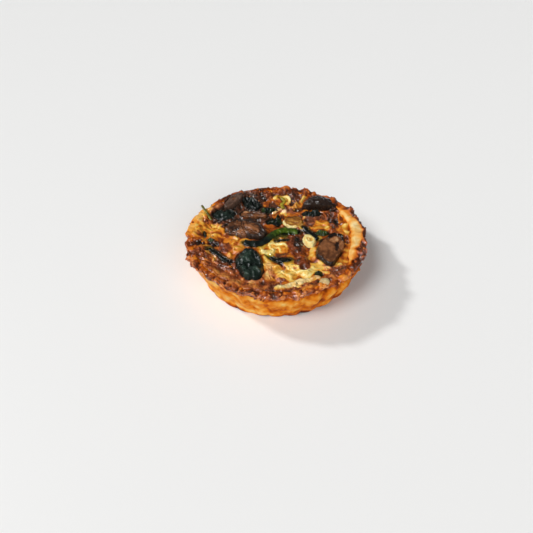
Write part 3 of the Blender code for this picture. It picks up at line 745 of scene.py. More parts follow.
# Lumps and spots: x, y, half length, half width, turn in degrees, rise, tone, and any juice and skin
custardMarks = [
    (-46.6, 14.6, 4.4, 2.0, -14, 0.5, 0.72, 0, 0.3), (-40.6, 10.4, 5, 1.2, 16, 0.4, 0.16),
    (-33, 1.6, 4, 1.4, -30, 0.2, 0.58), (-50, 3, 2.6, 3, 0, 0.4, 0.60, 0, 0.2),
    (-37, 11, 5, 2.6, 60, 0.3, 0.18), (-42, 4, 4, 3, 20, 0.3, 0.34), (-31.5, 4.6, 3, 2.4, 0, 0.2, 0.30),
    (-46, 19, 3.6, 3.2, 0, 0.5, 0.74), (-35, 15, 4.4, 4.6, 0, 0.5, 0.80, 0, 0.6),
    (-49, -6.6, 5, 3, 0, 0.6, 0.86), (-39, -7.4, 4.4, 2.8, 10, 0.5, 0.86),
    (-46, -16, 5, 6, 20, 0.7, 0.64, 0, 0.1), (-35.5, -17.6, 2, 2.2, 0, 0.8, 0.30, 0, 0.5),
    (-32, -9.6, 3.6, 4.4, 0, 0.7, 0.68, 0, 0.4), (-23, -4, 5, 2.2, -10, 0.2, 0.30),
    (-22, -10, 3, 2, 30, 0.2, 0.34), (-29.6, -26, 7, 5.4, -30, 1.5, 0.70, 0, 0.5),
    (-27.6, -28.8, 2, 0.9, 0, 0.4, 0.42), (-33, -22, 1.8, 0.9, 20, 0.3, 0.44),
    (-12.6, -39.4, 6, 2.2, 8, 0.9, 0.34, 0, 0.6), (0.5, -25.6, 4.2, 1.5, -6, 0.5, 0.50),
    (1.6, -25.2, 1.5, 0.9, 0, 0.2, 0.76), (2.6, -38.4, 2.8, 1.4, -15, 0.4, 0.62, 0, 0.2),
    (12, -27.4, 2, 1.2, 0, 0.2, 0.44), (19, -32, 1.8, 1.1, 20, 0.2, 0.46),
    (14, -8, 5.4, 9, 4, 1.8, 0.74, 0, 0.3), (15.4, -22, 4.4, 4.6, 0, 1.3, 0.72, 0, 0.2),
    (12.4, -27.6, 2.4, 1.8, 20, 0.5, 0.66), (18.6, -27, 2.4, 2.0, -20, 0.6, 0.70, 0, 0.3),
    (15.6, -20.4, 1.6, 1.2, 0, 0.4, 0.58), (13.4, -23.4, 1.2, 1.0, 0, 0.4, 0.84),
    (17.6, -24, 1.2, 1.0, 0, 0.4, 0.52), (13.6, -8, 2.8, 6, 0, 0.2, 0.90, 0, 0.3),
    (19.4, -13, 1.4, 4, 8, 0.3, 0.54), (12.4, -15, 1.0, 3, 0, 0.3, 0.56), (17.4, -9, 0.8, 4, 6, 0.3, 0.60),
    (21.8, -14, 1.4, 6, -10, 0.3, 0.20), (22.2, -3.6, 3.4, 3.8, 0, 0.2, 0.2),
    (-6, 33.6, 2, 5, -20, 0.3, 0.50), (-21.8, 34, 1.2, 4, 10, 0.3, 0.56),
    (-33.4, 34, 1.6, 4, -28, 0.6, 0.62, 0, 0.5), (-5, 21.4, 5, 1.2, 0, 0.2, 0.52),
    (-31, 16.4, 3, 1.6, -20, 0.3, 0.62, 0, 0.8), (-16, 18.2, 6, 1.2, 6, 0.3, 0.62, 0, 0.3),
    (9, 25.4, 7, 2.8, 0, 0.4, 0.64, 0, 0.8), (14.6, 26.4, 3, 2, 0, 0.3, 0.80, 0.3),
    (32, 26.4, 1.8, 3, -20, 0.4, 0.52), (44.6, -2, 1.2, 5, 0, 0.3, 0.62), (45.6, 12, 1.0, 5, -4, 0.2, 0.36),
    (41, -10, 1.6, 6, 0, 0.2, 0.40, 0, 0.3), (27.4, -2.2, 1.6, 2.2, 0, 0.3, 0.10),
    (30.6, -28, 4, 2.2, -15, 0.5, 0.48, 0, 0.5), (23.4, -37.4, 2.2, 1.6, 0, 0.6, 0.22, 0, 0.7),
    (12.5, -41.6, 12, 2.0, 21, 0, 0.16, 0, 0.35), (37, -34, 3, 2.4, 30, 0.7, 0.50, 0, 0.3),
    (29, 8.2, 5.4, 1.8, 4, 0.4, 0.12, 0.1), (30.4, 14.4, 3.4, 2.6, 0, 0.2, 0.42),
    (44.4, 9, 1.8, 7, 8, 0.2, 0.30), (2.9, 36.2, 2.4, 2.2, 0, 0, 0.46),
    (2.8, -4.2, 5, 1.5, 0, 0.1, 0.82, 0.9), (-5, -18.6, 2.2, 0.9, -30, 0.1, 0.74, 0.8),
    (3, -17.2, 3.6, 2.2, -8, 0.2, 0.74, 0.1, 0.4), (4.2, -31, 3, 1.6, 0, 0.3, 0.24),
    (27.9, 4.6, 1.8, 1.4, 0, 0.3, 0.08),
]
# Raised folds along a path: half width, rise, tone, path
custardFolds = [
    (1.7, 1.3, 0.32, [(-43.4, -10), (-40.6, -16), (-37.8, -22.6)]),
    (1.3, 1.0, 0.38, [(-26.4, -12), (-27.6, -17), (-29, -22.6)]),
    (0.9, 0.7, 0.34, [(-27.4, -6.6), (-22.4, -5.2), (-18.4, -7.4), (-16.4, -10.6)]),
    (1.2, 1.1, 0.12, [(-0.6, 21.4), (1, 24.6), (3.4, 26.8), (5.4, 25.5), (5.6, 21), (6, 17)]),
    (1.0, 0.8, 0.12, [(-0.2, 38.8), (3.4, 41.5), (7.2, 39.5), (8.5, 34.9), (6.6, 31.8), (2.6, 31.4)]),
    (1.0, 0.8, 0.14, [(9, 9.9), (14.2, 8.8), (20.5, 4.2)]),
    (1.1, 0.8, 0.40, [(8.6, 30.6), (12, 29.8), (14.6, 30.5)]),
    (1.5, 1.1, 0.30, [(14.6, 30.5), (17.2, 36.2), (19.5, 41.5), (21.8, 47.6)]),
    (1.2, 0.9, 0.24, [(30, -30), (34, -28.4), (38, -25.4)]),
    (1.7, 1.4, 0.15, [(0.6, -46.4), (7, -43.4), (12.5, -41.6), (19, -38.8), (24.4, -37)]),
    (0.8, 0.6, 0.28, [(-3, -27), (3, -28), (9, -27), (14, -30)]),
    (0.8, 0.6, 0.24, [(5, -34), (10, -36), (16, -34), (21, -32)]),
    (1.0, 0.8, 0.14, [(15.6, 12), (17.6, 16), (18.4, 21)]),
    (1.1, 0.9, 0.05, [(-10.2, -10.1), (-5.6, -9.6), (-2.4, -6.5), (1.8, -6.1), (6.5, -8.5)]),
    (0.9, 0.8, 0.07, [(-10.6, -10.6), (-6.6, -15.1), (-3.1, -18.1)]),
    (1.0, 0.9, 0.05, [(-3.5, -8.8), (-1.5, -11.9), (-2.4, -15), (-2.2, -18.1)]),
    (0.6, 0.5, 0.16, [(-1.5, -11.9), (1.6, -11.2), (2.8, -14)]),
    (0.5, 0.6, 0.12, [(-6.4, -28), (-5.6, -33), (-4.4, -37)]),
    (0.5, 0.6, 0.15, [(-3.2, -28), (-4, -33), (-2.2, -37)]),
    (0.9, 0.8, 0.12, [(5.5, -27.1), (8.6, -30), (12.2, -31.8), (16.2, -32.1), (22.4, -29.2)]),
    (0.8, 0.7, 0.16, [(4.4, -32.1), (7, -35), (10.8, -33.5)]),
    (0.8, 0.7, 0.14, [(17, -35.4), (21, -34), (25, -31)]),
    (0.7, 0.5, 0.42, [(-44, 12), (-38, 6), (-33, 9)]), (0.8, 0.5, 0.36, [(-48, 10), (-44, 2), (-38, 0)]),
]


def custardLevel(y):
    return (case["rimHeight"] - custard["drop"]) * (1 + lean(y) / case["rimHeight"])


def spotCover(x, y, spot, wobble):
    # 1 well inside a soft oval spot, 0 outside it
    spotX, spotY, halfLong, halfWide, turn = spot
    spin = math.radians(turn)
    along = ((x - spotX) * math.cos(spin) + (y - spotY) * math.sin(spin)) / halfLong
    across = ((y - spotY) * math.cos(spin) - (x - spotX) * math.sin(spin)) / halfWide
    return smoothStep(1.2, 0.72, np.hypot(along, across) * (1 + wobble))


def toppingDistance(x, y):
    # from the nearest topping's edge, negative under it
    nearest = np.full(x.shape, 1e9)
    for shape in shapes.values():
        share, edge = outlineReach(shape, x, y)
        nearest = np.minimum(nearest, (share - 1) * edge)
    for path in stripPaths.values():
        nearest = np.minimum(nearest, pathDistance(x, y, path) - 1.4)
    return nearest


def makeCustard():
    gridX, gridY, faces, loop = roundGrid(custard["count"])
    angle = np.arctan2(gridY, gridX)
    pale = around(angle, [(-36, 0), (-30, 1), (33, 1), (40, 0), (180, 0)])
    baked = 1 - pale
    bareEdge = around(angle, foldEdge) + custard["underLip"]
    edge = custard["edgeBaked"] + (bareEdge - custard["edgeBaked"]) * pale
    x, y = gridX * edge, gridY * edge * case["depthShare"]
    flat = np.stack([x, y, 0 * x], axis=1)
    reach = np.hypot(gridX, gridY) * edge / case["rimRadius"]
    away = toppingDistance(x, y)
    top = flat + [0, 0, case["rimHeight"]]
    relief, shade, _, luck = crags(top, custard)
    wobble = 0.40 * cloud(flat, 3.6, 33, 2)
    warp = flat + 3.0 * np.stack([softNoise(flat, 6, 51), softNoise(flat, 6, 52), 0 * x], axis=1)
    folds = ridges(warp, 6.5, 53)
    strands = ridges(warp * [0.5, 1.1, 1], 3.6, 55)
    wrinkles = ridges(warp * [1, 1.6, 1], 2.6, 54)

    # where it is pale, golden, browned, juicy or skinned over; the zones are drawn as seen from above the
    # front, so what lies lower is really further back
    seenY = y - custard["drop"] * smoothStep(0.95, 0.78, reach) * 0.85
    tone = 0.48 + 0.10 * cloud(flat, 8, 35)
    juice, skin, rises = np.zeros((3, len(x)))
    warpX, warpY = x + 2.0 * cloud(flat, 5, 61, 3), seenY + 2.0 * cloud(flat, 5, 62, 3)

    def paint(cover, *values):
        for field, value in zip((tone, juice, skin), (*values, 0, 0)):
            field += (value - field) * cover

    for *values, outline in custardZones:
        share, zoneEdge = outlineReach(polarOutline(outline), warpX, warpY)
        paint(smoothStep(1.3, -1.3, (share - 1) * zoneEdge), *values)
    for mark in custardMarks:
        cover = spotCover(x, seenY, mark[:5], wobble)
        rises += mark[5] * cover
        paint(cover, *mark[6:])
    for halfWide, rise, foldTone, path in custardFolds:
        apart = pathDistance(warpX, warpY, smoothPath(path)) / halfWide
        rises += rise * smoothStep(1.3, 0.1, apart)
        tone += (foldTone - tone) * smoothStep(1.25, 0.8, apart)
    edgeTone = around(angle, rimTone) + 0.18 * cloud(top, 6, 23, 2)
    tone += (edgeTone - tone) * smoothStep(0.86, 0.93, reach + 0.03 * wobble) * baked

    # melted and smooth where pale, craggy where browned, wrinkled where a skin has formed
    crusty = smoothStep(0.42, 0.66, tone) * (1 - 0.7 * skin) * (0.45 + 0.55 * smoothStep(0.5, 0.8, reach))
    largeLumps = sampled(flat + [0, 0, 2], custard["lumpSize"], lambda at: noise.voronoi(at)[0][0])
    largeLumps = np.maximum(0, 1 - 1.3 * largeLumps) ** 0.8
    height = custard["swell"] * softNoise(flat, custard["swellSize"]) + custard["lump"] * (largeLumps - 0.3)
    height = (height + rises) * smoothStep(0.5, 4.0, away)
    height += crusty * relief + (1 - crusty) * (0.9 * (folds - 0.5) + 0.36 * (strands - 0.5))
    height += skin * 0.5 * (wrinkles - 0.5)
    nearRim = smoothStep(0.84, 0.92, reach)
    rim = smoothStep(0.74, 0.92, reach) * np.maximum(smoothStep(-0.5, 3.0, away), nearRim)
    height += rim * ((custard["edgeRise"] + custard["paleDrop"]) * baked - custard["paleDrop"])
    height += smoothStep(0.945, 0.962, reach) * -0.9
    lip = custard["lip"] * np.exp(-(((away - 0.4) / custard["lipWidth"]) ** 2))
    height += lip * (0.7 + 0.5 * wobble) * (1 + 1.2 * skin) - 1.2 * smoothStep(0.2, -1.2, away)

    # melted tops are painted paler and the hollows between them more golden, painted highlight and shade on
    # the cheese's own pale and gold; crumbs get painted shade in their creases, and spots are toasted
    toasted = smoothStep(-0.05, 0.55, cloud(warp, 6.5, 36, 2)) * (1 - skin) * (tone < 0.6)
    melted = 0.17 * (0.5 - folds) + 0.07 * (0.5 - strands) + 0.36 * toasted
    tone += (1 - crusty) * melted + crusty * shade + 0.06 * cloud(flat, 2.4, 37, 2)
    # the skin's raised wrinkle crests are lighter: painted highlight
    tone -= skin * 0.14 * (wrinkles - 0.45)
    mauve = around(angle, rimMauve) * smoothStep(0.5, 0.75, reach) * (0.6 + 0.4 * luck)
    skin += crusty * (skin < 0.5) * mauve
    tone += 0.10 * smoothStep(1.6, 0.2, away)  # darker within a couple of millimetres of each topping
    beside = smoothStep(10, 3, (1 - np.hypot(gridX, gridY)) * edge) * pale
    streaks = np.stack([20 * angle, 4 * reach, 0 * x], axis=1)
    tone += 0.34 * beside * softNoise(streaks, 1.0, 38)  # out to the bare strip
    for name, path in stripPaths.items():
        if name.startswith("spinach"):
            beside = smoothStep(4.2, 1.4, pathDistance(x, y, path) + 1.6 * wobble)
            tone += 0.26 * beside
            juice += 0.55 * beside * (1 - skin)
    juice = np.clip(juice + 0.30 * smoothStep(2.2, 0.2, away) * (juice > 0.05), 0, 1)
    points = np.stack([x, y, custardLevel(y) + height], axis=1)
    points, faces = closeBelow(points, faces, loop, drop=6.0, inward=0.04)
    piece = makePiece(
        "bakedCustard", points, faces, custardFinish, tone=tone, juice=juice, skin=np.clip(skin, 0, 1),
        crumbs=crusty * (away > 1.2) * (reach > 0.6) * (reach < 0.9),
        flecks=1.0 * (away > 1.5) * (reach < 0.84))
    return dress(piece, "custard", "custard_filling")


bakedCustard = makeCustard()
print("custard made:", len(bakedCustard.data.polygons), "faces")


# Slices and lumps on the custard. Sunk: the side that has sunk in, and how deep. Streak: direction, length,
# width and height of gills and fibres. Skin: how far out it begins, and between which directions. Rings: how
# many, height and shade. Marks: x, y, half length, half width, turn in degrees, rise and tone

slices = {
    "mushroomLeft": {
        "node": "mushroom_left", "count": 84, "thick": 3.4, "sunk": (170, 1.9), "tone": 0.44,
        "streak": (-50, 6.0, 1.6, 0.6), "fibreTone": 0.20, "skin": (0.70, -80, 120), "skinTone": 0.36,
        "marks": [
            # the stripes at (-17, 9) and (-12, 3) are painted highlight, lighter than the flesh round them
            (-27, 9, 3.4, 5, 20, -0.4, 0.24), (-17, 9, 7, 1.6, -32, 0.4, 0.60),
            (-12, 3, 6, 1.6, -20, 0.2, 0.48), (-21, 13, 6, 2, -10, 0.1, 0.46),
            (-30, 13, 2.4, 3, 0, 0, 0.34), (-24, 5.4, 4, 1.4, 10, 0.3, 0.60),
        ],
    },
    "mushroomRight": {
        "node": "mushroom_right", "count": 84, "thick": 3.6, "sunk": (40, 0.8), "tone": 0.50,
        "streak": (62, 8, 2.4, 0.35), "fibreTone": 0.09, "skin": (0.88, 95, 330), "skinTone": 0.20,
        "marks": [
            (31, -10, 4, 6, 20, 0.2, 0.62), (37.4, -9, 1.2, 5, -8, -0.4, 0.22),
            (40.2, -8, 1.6, 5, 0, 0.2, 0.70), (36.4, -2.8, 3.0, 2.6, 20, 0.3, 0.82),
            (35.6, 1.2, 4.2, 1.9, 38, 0.9, 0.03), (40.4, 1.2, 2.6, 2.2, 0, 1.0, 0.04),
            (41.4, -2.4, 0.9, 2.4, 0, 0.4, 0.10), (33, -18, 3, 3.6, 30, 0, 0.50),
        ],
    },
    "mushroomCap": {
        "node": "mushroom_cap_back", "count": 72, "thick": 4.2, "sunk": (270, 0.4), "tone": 0.34,
        "streak": (70, 6, 3.0, 0.3), "fibreTone": 0.10, "skin": (-1, 0, 360), "skinTone": 0.21, "dome": 3.0,
        "uneven": 0.55,
        "marks": [
            (24, 35, 3, 2.4, 30, 0.2, 0.44), (21, 31, 4, 2, 0, 0, 0.54), (31, 35, 1.0, 0.8, 0, 0.2, 1.0),
            (35, 31, 2.4, 2, 0, 0, 0.36),
        ],
    },
    "mushroomWedge": {
        "node": "mushroom_back_left", "count": 56, "thick": 3.4, "sunk": (250, 0.8), "tone": 0.42,
        "streak": (56, 7, 2.2, 0.5), "fibreTone": 0.20, "skin": (0.2, 0, 360), "skinTone": 0.60,
        "lift": 1.2,
        "marks": [(-24.6, 42, 2.2, 2, 0, 0, 0.2), (-27, 34.6, 1, 4, -30, 0.2, 0.60)],
    },
    "mushroomFold": {
        "node": "mushroom_middle", "count": 56, "thick": 3.0, "sunk": (180, 1.2), "tone": 0.44,
        "streak": (-8, 7, 1.8, 0.5), "fibreTone": 0.20, "skin": (2.0, 0, 0),
        "marks": [
            (-19.6, 25.4, 1.6, 1.2, 0, 0.3, 0.78), (-9, 20.6, 4, 1, 0, 0.2, 0.58),
            (-16, 23, 3, 1.4, 0, 0, 0.30),
        ],
    },
    "onionSlice": {
        "node": "onion_slice", "count": 60, "thick": 2.2, "sunk": (90, 0.9), "tone": 0.52,
        "streak": (-8, 5, 1.2, 0.4), "fibreTone": 0.15, "skin": (2.0, 0, 0),
        "marks": [
            (11, 21.8, 6.5, 2.2, 0, 0, 0.86), (14.6, 19.4, 4, 1.6, -10, -0.2, 0.76),
            (5.2, 15, 0.9, 4, 16, 0.5, 0.10), (7.4, 11.6, 3, 0.9, -24, 0.5, 0.10),
            (12.4, 10.8, 3.6, 0.8, 4, 0.4, 0.12), (17.2, 13, 0.8, 2.6, -24, 0.4, 0.14),
            (9.6, 15.8, 3.4, 0.7, -20, -0.3, 0.74), (13.6, 14.4, 3, 0.7, 10, -0.2, 0.68),
        ],
    },
    "cheeseCurd": {
        "node": "cheese_curd", "count": 48, "thick": 3.6, "sunk": (270, 0.4), "tone": 0.10,
        "rings": (2, 0.15, 0.10),
        "marks": [(22, -2.6, 1.4, 1.8, 0, -0.3, 0.34)],
    },
    "onionLump": {
        "node": "onion_lump_front", "count": 40, "thick": 2.6, "sunk": (90, 0.3), "lift": 0.9, "dome": 1.4,
        "tone": 0.30, "rings": (1, 0.1, 0.03), "veil": 0.8, "marks": [],
    },
}


def toppingGrid(name, count, ragged):
    # an even grid inside a topping's outline, whose edge wanders as ragged says
    centre, angles, radii = shapes[name]
    gridX, gridY, faces, loop = roundGrid(count)
    share, turn = np.hypot(gridX, gridY), np.arctan2(gridY, gridX)
    ring = np.stack([np.cos(turn), np.sin(turn), 0 * turn], axis=1)
    edge = np.interp(turn, angles, radii, period=fullTurn) * (1 + ragged(ring))
    x, y = centre[0] + gridX * edge, centre[1] + gridY * edge
    flat = np.stack([x, y, np.full_like(x, len(name) * 2.0)], axis=1)
    return flat, share, turn, (1 - share) * edge, faces, loop


def makeSlice(name, look):
    def ragged(ring):
        return 0.06 * softNoise(ring, 0.4, len(name)) + 0.03 * softNoise(ring, 0.12, 7)

    flat, share, turn, inFrom, faces, loop = toppingGrid(name, look["count"], ragged)
    x, y, _ = flat.T
    wobble = 0.35 * cloud(flat, 2.4, 41)
    height = look["thick"] * np.sqrt(smoothStep(-0.1, 1.3, inFrom)) + 0.7 * softNoise(flat, 7, 40)
    height += look.get("dome", 0) * (1 - share**2)
    sinkTurn, sunk = look["sunk"]
    height -= sunk * smoothStep(-0.4, 1.0, share * np.cos(turn - math.radians(sinkTurn)))
    tone = look["tone"] + 0.16 * cloud(flat, 2.6, 42)
    tint = np.full_like(tone, look.get("veil", 0))
    for *spot, rise, spotTone in look["marks"]:
        cover = spotCover(x, y, spot, wobble)
        height += rise * cover
        tone += (spotTone - tone) * cover
    if "streak" in look:
        direction, length, width, depth = look["streak"]
        spin = math.radians(direction) + 0.35 * softNoise(flat, 9, 43)
        along, across = x * np.cos(spin) + y * np.sin(spin), y * np.cos(spin) - x * np.sin(spin)
        fibre = ridges(np.stack([along / length, across / width, flat[:, 2]], axis=1), 1.0, 44)
        height += depth * (fibre - 0.5) * smoothStep(0, 1.2, inFrom)
        tone += look["fibreTone"] * (fibre - 0.45)
        start, fromTurn, toTurn = look["skin"]
        facing = (np.degrees(turn) - fromTurn) % 360 < toTurn - fromTurn
        tint = smoothStep(start - 0.04, start + 0.04, share + 0.06 * wobble) * facing
        tone += (look.get("skinTone", 0.4) - tone) * 0.8 * tint
    if "rings" in look:
        count, depth, shade = look["rings"]
        wave = np.cos(fullTurn * count * share + 0.8 * wobble)
        height += depth * wave
        tone -= shade * wave
    height += look.get("uneven", 0.10) * cloud(flat, 2.0, 45, 2)
    tone += 0.12 * cloud(flat, 2.0, 46, 2)
    if "rings" not in look:
        tone -= 0.12 * smoothStep(1.2, 0.1, inFrom)
    points = np.stack([x, y, custardLevel(y) + height + look.get("lift", 0) - 0.2], axis=1)
    points, faces = closeBelow(points, faces, loop, drop=1.6, inward=0.1)
    slot = look["node"].split("_")[0]
    piece = makePiece(name, points, faces, toppingFinishes[slot], tone=tone, skin=tint)
    return dress(piece, slot, look["node"])


for sliceName, sliceLook in slices.items():
    makeSlice(sliceName, sliceLook)
print("slices made:", len(slices))


# Leaves: thin, crumpled, tucked down at the edges. Folds: x, y, half length, half width, turn, rise, shade

leaves = {
    "spinachFront": {
        "node": "spinach_front", "count": 90, "crumple": 3.2, "fold": 5.5, "tone": 0.48, "tint": 0.0,
        "ragged": 0.06,
        "folds": [
            # the hollow at (-17.2, -25.4) is darkened as painted shade, and the bump at (-19.6, -27.4)
            # lightened as a painted highlight
            (-17.2, -25.4, 3.4, 2.0, 10, -1.5, -0.12), (-19.6, -27.4, 2.4, 2.6, 20, 0.9, 0.12),
            (-15, -13.2, 7, 1.7, 4, 0.9, -0.16), (-11, -17.4, 2, 4, 20, 0.8, -0.10),
            (-19.6, -17.6, 3.4, 2.4, -30, 0.5, 0.10),
        ],
    },
    "spinachCentre": {
        "node": "spinach_centre", "count": 50, "crumple": 2.4, "fold": 3.0, "tone": 0.30, "tint": 0.1,
    },
    "spinachMiddle": {
        "node": "spinach_middle", "count": 46, "crumple": 2.0, "fold": 2.6, "tone": 0.36, "tint": 0.12,
    },
    "spinachBack": {
        "node": "spinach_back_left", "count": 64, "crumple": 3.2, "fold": 3.4, "tone": 0.32, "tint": 0.0,
    },
    "spinachFarLeft": {
        "node": "spinach_far_left", "count": 60, "crumple": 1.7, "fold": 3.8, "tone": 0.42, "tint": 0.0,
    },
    "spinachBackRight": {
        "node": "spinach_back_right", "count": 52, "crumple": 2.2, "fold": 3.0, "tone": 0.34, "tint": 0.0,
    },
    "spinachRight": {
        "node": "spinach_right", "count": 44, "crumple": 1.7, "fold": 2.2, "tone": 0.42, "tint": 0.5,
    },
    "spinachBitFront": {
        "node": "spinach_bit_front", "count": 30, "crumple": 1.4, "fold": 1.8, "tone": 0.36, "tint": 0.2,
    },
    "spinachBitLeft": {
        "node": "spinach_bit_left", "count": 30, "crumple": 1.1, "fold": 2.0, "tone": 0.30, "tint": 0.1,
    },
    "spinachBitLow": {
        "node": "spinach_bit_left_low", "count": 30, "crumple": 0.9, "fold": 2.0, "tone": 0.50, "tint": 0.1,
    },
}
leafThickness = 0.45


def makeLeaf(name, look):
    def ragged(ring):
        return look.get("ragged", 0.1) * cloud(ring, 0.45, len(name))

    flat, _, _, inFrom, faces, loop = toppingGrid(name, look["count"], ragged)
    x, y, _ = flat.T
    wave = 0.5 + 0.75 * softNoise(flat, look["fold"], 51)
    crease = ridges(flat * [1.4, 0.8, 1], look["fold"] * 1.2, 52)
    veins = ridges(flat, 2.2, 53)
    height = look["crumple"] * (0.25 + 0.75 * np.clip(wave, 0, 1)) * smoothStep(-0.6, 2.2, inFrom)
    height += (0.9 * crease + 0.22 * veins + 0.14 * cloud(flat, 1.7, 56, 2)) * smoothStep(0, 1.5, inFrom)
    # lighter where the leaf stands higher and on its crease crests: painted highlight
    tone = look["tone"] + 0.30 * (wave - 0.5) + 0.14 * (crease - 0.4)
    tone += 0.06 * cloud(flat, 1.4, 54) - 0.12 * smoothStep(1.6, 0.2, inFrom)
    tint = np.clip(look["tint"] + 0.5 * cloud(flat, 3.0, 55) * (look["tint"] > 0), 0, 1)
    for *spot, rise, shade in look.get("folds", []):
        cover = spotCover(x, y, spot, 0.35 * cloud(flat, 2.4, 41))
        height += rise * cover
        tone += shade * cover
    top = np.stack([x, y, custardLevel(y) + height + 0.5], axis=1)
    under = top - [0, 0, leafThickness]
    count, here, there = len(x), loop, np.roll(loop, -1)
    rimFaces = np.stack([there, here, here + count, there + count], axis=1)
    allFaces = np.vstack([faces, faces[:, ::-1] + count, rimFaces])
    points = np.vstack([top, under])
    piece = makePiece(name, points, allFaces, spinachFinish, tone=np.tile(tone, 2), fresh=np.tile(tint, 2))
    return dress(piece, "spinach", look["node"])


for leafName, leafLook in leaves.items():
    makeLeaf(leafName, leafLook)
print("leaves made:", len(leaves))


# Stalks and strips, grown along their paths

stripLooks = {
    "spinachStem": {"node": "spinach_stem", "half": 2.4, "flat": 0.5, "tone": 0.42, "tint": (0.4, 0.65)},
    "spinachStripRight": {
        "node": "spinach_strip_right", "half": 1.5, "flat": 0.5, "crinkle": 1.5, "tone": 0.30,
    },
    "spinachStripFront": {
        "node": "spinach_strip_front", "half": 1.2, "flat": 0.5, "crinkle": 1.5, "tone": 0.28,
    },
    "spinachStripLeft": {
        "node": "spinach_strip_left", "half": 1.2, "flat": 0.5, "crinkle": 1.5, "tone": 0.28,
    },
    "leekBack": {"node": "leek_back", "half": 1.1, "flat": 0.7, "tone": 0.52},
    "leekShred": {"node": "leek_shred", "half": 0.8, "flat": 0.8, "tone": 0.74, "crinkle": 0.6},
}
stripSteps = 90  # along each


def stripTree():
    # a flattened, crinkled tube along a curve, thin at both ends
    sizes = ["Half width", "Flatness", "Crinkle", "Tone", "Tint from", "Tint to"]
    wanted = [("Path", "Object"), ("Finish", "Material"), ("Steps", "Int")]
    tree, given = newTree("stripOnPath", *wanted, *((size, "Float") for size in sizes))

    def add(kind, inputs=None, **settings):
        return addNode(tree, kind, inputs, **settings).outputs[0]

    path = addNode(tree, "GeometryNodeObjectInfo", {0: given["Path"]}).outputs["Geometry"]
    path = add("GeometryNodeResampleCurve", {"Curve": path, "Count": given["Steps"]})
    along = addNode(tree, "GeometryNodeSplineParameter").outputs["Factor"]
    belly = calc(tree, "POWER", calc(tree, "SINE", calc(tree, "MULTIPLY", along, math.pi)), 0.4)
    ragged = calc(tree, "ADD", add("ShaderNodeTexNoise", {"Scale": 1 / (2.5 * mm)}), 0.5)
    belly = calc(tree, "MULTIPLY", calc(tree, "MULTIPLY_ADD", belly, 0.7, 0.25), ragged)
    path = add("GeometryNodeSetCurveRadius", {"Curve": path, "Radius": belly})
    path = add("GeometryNodeSetCurveNormal", {"Curve": path})
    path = stored(tree, path, "along", along)
    ring = add("GeometryNodeCurvePrimitiveCircle", {"Resolution": 20, "Radius": given["Half width"]})
    squash = add("ShaderNodeCombineXYZ", {0: 1.0, 1: given["Flatness"], 2: 1.0})
    ring = add("GeometryNodeTransform", {"Geometry": ring, "Scale": squash})
    tube = add("GeometryNodeCurveToMesh", {"Curve": path, "Profile Curve": ring, "Fill Caps": True})
    bumps = addNode(tree, "ShaderNodeTexNoise", {"Scale": 1 / (2.6 * mm), "Detail": 3.0}).outputs
    push = add("ShaderNodeVectorMath", {0: bumps["Color"], 1: (0.5, 0.5, 0.5)}, operation="SUBTRACT")
    push = add("ShaderNodeVectorMath", {0: push, "Scale": given["Crinkle"]}, operation="SCALE")
    tube = add("GeometryNodeSetPosition", {"Geometry": tube, "Offset": push})
    tone = calc(tree, "MULTIPLY_ADD", calc(tree, "SUBTRACT", bumps[0], 0.5), 0.9, given["Tone"])
    tube = stored(tree, tube, "tone", tone)
    share = add("GeometryNodeInputNamedAttribute", {"Name": "along"}, data_type="FLOAT")
    tint = add("ShaderNodeMapRange", {0: share, 1: given["Tint from"], 2: given["Tint to"]})
    endTree(tree, stored(tree, tube, "fresh", tint), given["Finish"])
    return tree


def makeStrip(tree, name, look, route):
    curve = bpy.data.curves.new(name + "Path", "CURVE")
    curve.dimensions = "3D"
    spline = curve.splines.new("POLY")
    spline.points.add(len(route) - 1)
    for point, place in zip(spline.points, route * mm):
        point.co = (*place, 1)
    guide = placed(name + "Path", curve)
    slot = look["node"].split("_")[0]
    tintFrom, tintTo = look.get("tint", (2.0, 3.0))
    mesh = grownMesh(tree, {
        "Path": guide, "Finish": toppingFinishes[slot], "Steps": stripSteps, "Half width": look["half"] * mm,
        "Flatness": look["flat"], "Crinkle": look.get("crinkle", 1.6) * mm, "Tone": look["tone"],
        "Tint from": tintFrom, "Tint to": tintTo,
    })
    bpy.data.objects.remove(guide)
    return dress(pieceOf(name, mesh), slot, look["node"])


def shredRoute():
    # over the rim at the back left
    steps = np.array([(-41.6, 17.4, 1.2), (-43.4, 20.0, 2.6), (-45.2, 22.8, 3.7), (-47.0, 25.8, 4.2),
                      (-48.6, 28.4, 4.6)])
    return smoothPath(steps + np.outer(custardLevel(steps[:, 1]) + 0.4, [0, 0, 1]))


stripGrowth = stripTree()
for stripName, stripLook in stripLooks.items():
    if stripName == "leekShred":
        stripRoute = shredRoute()
    else:
        pathX, pathY = stripPaths[stripName].T
        pathZ = custardLevel(pathY) + stripLook["half"] * stripLook["flat"]
        stripRoute = np.stack([pathX, pathY, pathZ], axis=1)
    makeStrip(stripGrowth, stripName, stripLook, stripRoute)
print("strips made:", len(stripLooks))


# Crumbs of browned cheese and herb flecks, scattered over the rim and the custard

scatters = {
    "rimCrumbs": {
        "ground": pastryCase, "field": "crumbs", "density": 0.07, "scale": (0.6, 1.5), "flat": False,
        "tone": (0.42, 0.78), "finish": crustFinish, "slot": "crust", "seed": 3,
    },
    "custardCrumbs": {
        "ground": bakedCustard, "field": "crumbs", "density": 0.05, "scale": (0.6, 1.4), "flat": False,
        "tone": (0.40, 0.80), "finish": custardFinish, "slot": "cheese", "seed": 5,
    },
    "herbFlecks": {
        "ground": bakedCustard, "field": "flecks", "density": 0.03, "scale": (0.5, 1.1), "flat": True,
        "tone": (0.1, 0.6), "finish": spinachFinish, "slot": "spinach", "seed": 8,
    },
}


